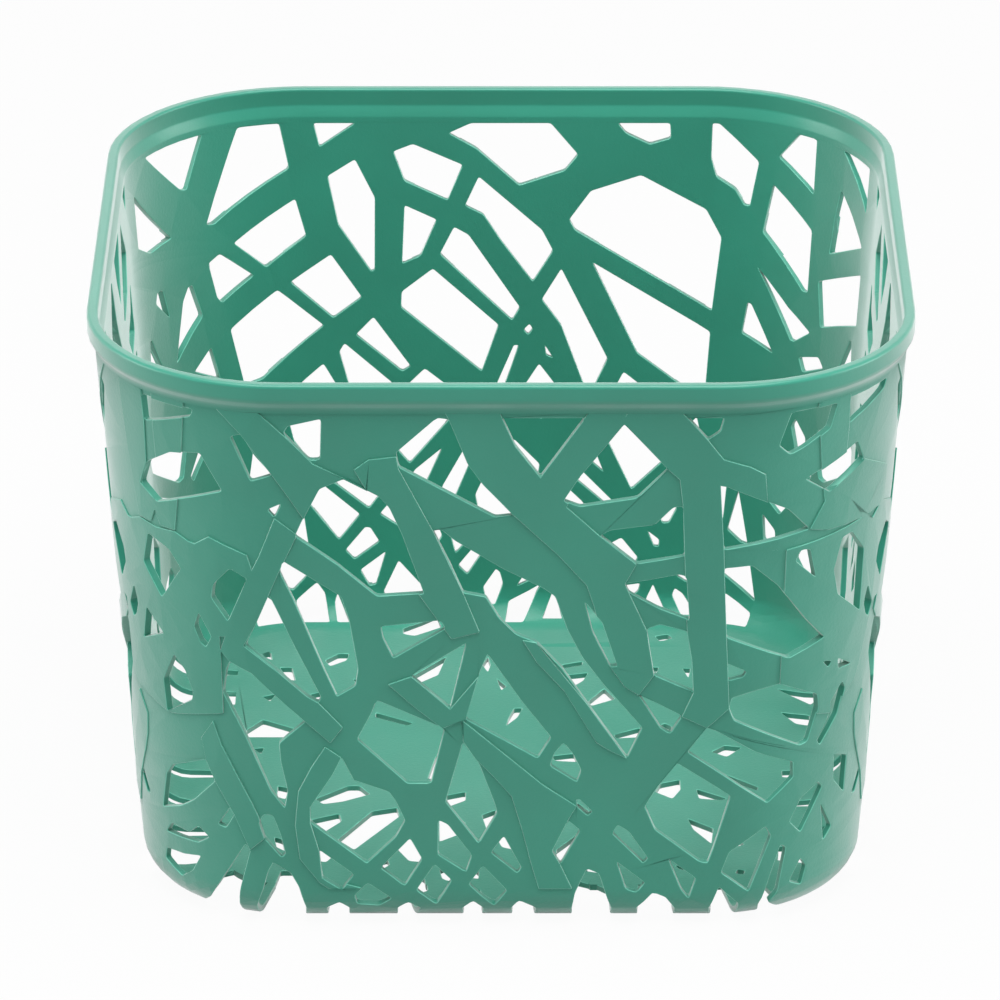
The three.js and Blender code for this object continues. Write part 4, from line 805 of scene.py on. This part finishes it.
def wrap(strip):
    """Bends the flat strip round the corners and the bottom edge, and closes it."""
    bends = [(0, run) for run in stations()]
    bends += [(1, EDGE_RUN * i / EDGE_STEPS) for i in range(EDGE_STEPS + 1)]
    edit_mesh(strip)
    for axis, level in bends:
        place, normal = [0, 0, 0], [0, 0, 0]
        place[axis], normal[axis] = level, 1
        bpy.ops.mesh.select_all(action="SELECT")
        bpy.ops.mesh.bisect(plane_co=place, plane_no=normal, threshold=CUT_SNAP)
    mesh = bmesh.from_edit_mesh(strip.data)
    bpy.ops.mesh.select_all(action="DESELECT")
    for face in mesh.faces:
        middle = face.calc_center_median()
        ends = (abs(middle.x - STRIP_START), abs(middle.x - STRIP_END))
        face.select_set(min(ends) < WELD and abs(face.normal.x) > END_FACING)
    bpy.ops.mesh.delete(type="FACE")
    close_mesh()
    for vert in strip.data.vertices:
        half, height, out = section(vert.co.y)
        x, y = around(vert.co.x, half + vert.co.z * out[0])
        vert.co = (x, y, height + vert.co.z * out[1])
    close_seam(strip)


def finish_faces(piece):
    """Splits the wide faces and shades the piece so that its flats stay flat and its bends smooth."""
    triangulate(piece)
    bpy.ops.object.shade_smooth_by_angle(angle=SMOOTH_TURN)
    apply_modifier(piece, "WEIGHTED_NORMAL", mode="FACE_AREA", weight=NORMAL_WEIGHT, keep_sharp=True)


def openwork_walls():
    """The branch-like shell: flat walls, rounded corners and bottom edge in one piece."""
    strip = flat_walls()
    soften(strip, (0, -SHELL, RELIEF), at_strip_end, True)
    triangulate(strip)
    wrap(strip)
    finish_faces(strip)
    return strip


def at_floor_border(edge):
    """Whether an edge lies where the floor meets the bottom edge."""
    return half_width((edge.verts[0].co + edge.verts[1].co) / 2) > FLOOR_HALF - BORDER_MARGIN


def slotted_floor():
    """The flat floor with its slits."""
    outline = [around(run, FLOOR_HALF) for run in stations()]
    plate = slabs("slotted_floor", [outline], 0, SHELL)
    slits = [
        rounded([(x / HUNDREDTHS * FLOOR_HALF, y / HUNDREDTHS * FLOOR_HALF) for x, y in slit])
        for slit in FLOOR_SLITS
    ]
    cut(plate, slabs("slits", slits, -OVERRUN, SHELL + OVERRUN), "DIFFERENCE")
    soften(plate, (0, SHELL), at_floor_border, False)
    finish_faces(plate)
    return plate


def swept(name, profile):
    """A closed section of half widths and heights, carried round the basket."""
    runs = stations()
    rows, columns = len(runs), len(profile)
    points = [(*around(run, half), height) for run in runs for half, height in profile]
    faces = [
        (
            i * columns + k,
            (i + 1) % rows * columns + k,
            (i + 1) % rows * columns + (k + 1) % columns,
            i * columns + (k + 1) % columns,
        )
        for i in range(rows)
        for k in range(columns)
    ]
    mesh = bpy.data.meshes.new(name)
    mesh.from_pydata(points, [], faces)
    ring = bpy.data.objects.new(name, mesh)
    bpy.context.collection.objects.link(ring)
    edit_mesh(ring)
    bpy.ops.mesh.select_all(action="SELECT")
    bpy.ops.mesh.normals_make_consistent(inside=False)
    close_mesh()
    return ring


def wall_half(depth):
    """The half width of the drafted wall's outer face at a depth below the rim's top."""
    return WALL_FOOT + DRAFT_SHARE * (HEIGHT - depth)


def rolled_rim():
    """The rim: an outer lip, a rounded top, a ledge inside and a neck that meets the walls."""
    half, height, out = section(PATH_TOP)
    inner = RIM_HALF - RIM_THICK
    profile = [
        (half + RELIEF, height, 0),
        (wall_half(RIM_COVE_DEPTH) + RELIEF, HEIGHT - RIM_COVE_DEPTH, RIM_COVE_EASE),
        (RIM_HALF, HEIGHT - RIM_LIP_DEPTH, RIM_LIP_EASE),
        (RIM_HALF, HEIGHT, RIM_TOP_EASE),
        (inner, HEIGHT, RIM_TOP_INNER_EASE),
        (inner, HEIGHT - RIM_LEDGE_DEPTH, RIM_LEDGE_EASE),
        (wall_half(RIM_LEDGE_FOOT) - SHELL, HEIGHT - RIM_LEDGE_FOOT, 0),
        (half - SHELL * out[0], height - SHELL * out[1], 0),
    ]
    ring = swept("rim_moulding", [(at, level) for at, level, _ in profile])
    mesh = edit_mesh(ring, "EDGE")
    weight = mesh.edges.layers.float.new("bevel_weight_edge")
    for edge in mesh.edges:
        heights = [v.co.z for v in edge.verts]
        halves = [half_width(v.co) for v in edge.verts]
        if abs(heights[0] - heights[1]) > WELD or abs(halves[0] - halves[1]) > WELD:
            continue
        for at, level, share in profile:
            if abs(halves[0] - at) < WELD and abs(heights[0] - level) < WELD:
                edge[weight] = share
    bmesh.update_edit_mesh(ring.data)
    close_mesh()
    apply_modifier(
        ring,
        "BEVEL",
        limit_method="WEIGHT",
        width=RIM_EASE,
        segments=RIM_EASE_SEGMENTS,
        use_clamp_overlap=False,
    )
    ring.data.attributes.new("crest", "FLOAT", "POINT")
    finish_faces(ring)
    return ring


def moulded_surface():
    """A group for the skin of moulded plastic: soft mottling, a painted highlight on the crests and a fine
    grain.
    """
    group = bpy.data.node_groups.new("moulded_surface", "ShaderNodeTree")
    for name, kind in (
        ("Place", "NodeSocketVector"),
        ("Colour", "NodeSocketColor"),
        ("Crest Highlight Colour", "NodeSocketColor"),
        ("Crest", "NodeSocketFloat"),
        ("Roughness", "NodeSocketFloat"),
        ("Grain", "NodeSocketFloat"),
    ):
        group.interface.new_socket(name, in_out="INPUT", socket_type=kind)
    for name, kind in (
        ("Colour", "NodeSocketColor"),
        ("Roughness", "NodeSocketFloat"),
        ("Normal", "NodeSocketVector"),
    ):
        group.interface.new_socket(name, in_out="OUTPUT", socket_type=kind)
    nodes, links = group.nodes, group.links
    given, made = nodes.new("NodeGroupInput"), nodes.new("NodeGroupOutput")

    def noise(scale, detail=SKIN_DETAIL):
        node = nodes.new("ShaderNodeTexNoise")
        node.inputs["Scale"].default_value = scale
        node.inputs["Detail"].default_value = detail
        links.new(given.outputs["Place"], node.inputs["Vector"])
        return node.outputs[0]

    def spread(value, low, high):
        node = nodes.new("ShaderNodeMapRange")
        node.inputs["From Min"].default_value, node.inputs["From Max"].default_value = NOISE_RANGE
        node.inputs["To Min"].default_value, node.inputs["To Max"].default_value = low, high
        links.new(value, node.inputs["Value"])
        return node.outputs[0]

    tone = nodes.new("ShaderNodeVectorMath")
    tone.operation = "SCALE"
    links.new(given.outputs["Colour"], tone.inputs[0])
    links.new(spread(noise(MOTTLE_SCALE, MOTTLE_DETAIL), *MOTTLE_RANGE), tone.inputs["Scale"])
    # Painted highlight: the marked crests turn toward the paler crest colour, in patches.
    highlight_share = nodes.new("ShaderNodeMath")
    highlight_share.operation = "MULTIPLY"
    links.new(given.outputs["Crest"], highlight_share.inputs[0])
    links.new(spread(noise(CREST_HIGHLIGHT_SCALE), *CREST_HIGHLIGHT_RANGE), highlight_share.inputs[1])
    paler = nodes.new("ShaderNodeMix")
    paler.data_type = "RGBA"
    links.new(highlight_share.outputs[0], paler.inputs["Factor"])
    links.new(tone.outputs[0], paler.inputs["A"])
    links.new(given.outputs["Crest Highlight Colour"], paler.inputs["B"])
    rough = nodes.new("ShaderNodeMath")
    rough.operation = "MULTIPLY"
    links.new(given.outputs["Roughness"], rough.inputs[0])
    links.new(spread(noise(GLOSS_SCALE), *GLOSS_RANGE), rough.inputs[1])
    height = nodes.new("ShaderNodeMath")
    height.operation = "MULTIPLY_ADD"
    links.new(noise(FINE_GRAIN_SCALE), height.inputs[0])
    height.inputs[1].default_value = FINE_GRAIN_SHARE
    links.new(noise(COARSE_GRAIN_SCALE), height.inputs[2])
    bump = nodes.new("ShaderNodeBump")
    bump.inputs["Distance"].default_value = GRAIN_DEPTH
    links.new(given.outputs["Grain"], bump.inputs["Strength"])
    links.new(height.outputs[0], bump.inputs["Height"])
    links.new(paler.outputs["Result"], made.inputs["Colour"])
    links.new(rough.outputs[0], made.inputs["Roughness"])
    links.new(bump.outputs[0], made.inputs["Normal"])
    return group


def plastic_material(name, group, roughness, grain):
    """Moulded plastic with a pale haze at its edges and a painted highlight on its crests, as rough and
    grained as its piece is.
    """
    material = bpy.data.materials.new(name)
    material.use_nodes = True
    nodes, links = material.node_tree.nodes, material.node_tree.links
    shader = nodes["Principled BSDF"]
    shader.inputs["IOR"].default_value = PLASTIC_IOR
    shader.inputs["Sheen Weight"].default_value = HAZE
    shader.inputs["Sheen Roughness"].default_value = HAZE_SPREAD
    surface = nodes.new("ShaderNodeGroup")
    surface.node_tree = group
    place = nodes.new("ShaderNodeTexCoord")
    crest = nodes.new("ShaderNodeAttribute")
    crest.attribute_name = "crest"
    links.new(place.outputs["Object"], surface.inputs["Place"])
    links.new(crest.outputs["Fac"], surface.inputs["Crest"])
    surface.inputs["Colour"].default_value = linear(PLASTIC)
    # The paler crest colour is a painted highlight.
    surface.inputs["Crest Highlight Colour"].default_value = linear(CREST_HIGHLIGHT)
    surface.inputs["Roughness"].default_value = roughness
    surface.inputs["Grain"].default_value = grain
    links.new(surface.outputs["Colour"], shader.inputs["Base Color"])
    links.new(surface.outputs["Roughness"], shader.inputs["Roughness"])
    links.new(surface.outputs["Normal"], shader.inputs["Normal"])
    return material


def seen_directly(nodes, links):
    """One for a ray from the camera or off a gloss, and zero for light that falls on the basket."""
    path = nodes.new("ShaderNodeLightPath")
    either = nodes.new("ShaderNodeMath")
    either.operation = "MAXIMUM"
    links.new(path.outputs["Is Camera Ray"], either.inputs[0])
    links.new(path.outputs["Is Glossy Ray"], either.inputs[1])
    return either.outputs[0]


def paper_material():
    """Pale paper that the camera sees as near white, with a soft shadow left on it."""
    material = bpy.data.materials.new("pale_paper")
    material.use_nodes = True
    nodes, links = material.node_tree.nodes, material.node_tree.links
    shader = nodes["Principled BSDF"]
    shader.inputs["Base Color"].default_value = linear(PAPER)
    shader.inputs["Roughness"].default_value = PAPER_ROUGHNESS
    shader.inputs["Specular IOR Level"].default_value = 0
    glow = nodes.new("ShaderNodeEmission")
    share = nodes.new("ShaderNodeMath")
    share.operation = "MULTIPLY"
    share.inputs[1].default_value = PAPER_WHITE_SHARE
    mix = nodes.new("ShaderNodeMixShader")
    links.new(seen_directly(nodes, links), share.inputs[0])
    links.new(share.outputs[0], mix.inputs[0])
    links.new(shader.outputs[0], mix.inputs[1])
    links.new(glow.outputs[0], mix.inputs[2])
    links.new(mix.outputs[0], nodes["Material Output"].inputs["Surface"])
    return material


def set_stage():
    """The paper, and a studio that the camera sees as white and that lights the basket softly."""
    bpy.ops.mesh.primitive_plane_add(size=PAPER_SIZE, location=(0, 0, -PAPER_DROP))
    paper = bpy.context.object
    paper.name = "paper"
    paper.data.materials.append(paper_material())
    world = bpy.data.worlds.new("studio")
    bpy.context.scene.world = world
    world.use_nodes = True
    nodes, links = world.node_tree.nodes, world.node_tree.links
    level = nodes.new("ShaderNodeMapRange")
    level.inputs["To Min"].default_value = STUDIO_LIGHT
    level.inputs["To Max"].default_value = WHITE_LEVEL
    links.new(seen_directly(nodes, links), level.inputs["Value"])
    links.new(level.outputs[0], nodes["Background"].inputs["Strength"])
    nodes["Background"].inputs["Color"].default_value = WHITE


def area_light(name, place, size, watts):
    """A soft box, aimed at the middle of the basket."""
    bpy.ops.object.light_add(type="AREA", location=place)
    lamp = bpy.context.object
    lamp.name = name
    lamp.data.shape = "RECTANGLE"
    lamp.data.size, lamp.data.size_y = size
    lamp.data.energy = watts
    lamp.rotation_euler = (LAMP_AIM - Vector(place)).to_track_quat("-Z", "Y").to_euler()


def set_camera():
    """The camera, at the photograph's angle and framing."""
    back = Vector((0, -math.cos(CAMERA_PITCH), math.sin(CAMERA_PITCH)))
    bpy.ops.object.camera_add(location=CAMERA_TARGET + back * CAMERA_DISTANCE)
    camera = bpy.context.object
    camera.rotation_euler = (-back).to_track_quat("-Z", "Y").to_euler()
    camera.data.lens = CAMERA_LENS
    camera.data.sensor_width = CAMERA_SENSOR
    camera.data.shift_x, camera.data.shift_y = CAMERA_SHIFT
    camera.data.clip_end = CAMERA_REACH
    bpy.context.scene.camera = camera


set_camera()
set_stage()
for lamp in LAMPS:
    area_light(*lamp)
bpy.context.scene.view_settings.view_transform = "Standard"

surface = moulded_surface()
satin = plastic_material("satin_plastic", surface, SATIN_ROUGHNESS, SATIN_GRAIN)
smooth = plastic_material("smooth_plastic", surface, SMOOTH_ROUGHNESS, SMOOTH_GRAIN)
for piece, finish, nodes in (
    (openwork_walls(), satin, [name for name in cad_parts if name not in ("rim", "floor")]),
    (slotted_floor(), satin, ["floor"]),
    (rolled_rim(), smooth, ["rim"]),
):
    piece.data.materials.clear()
    piece.data.materials.append(finish)
    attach(piece, "root")
    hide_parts(*nodes)
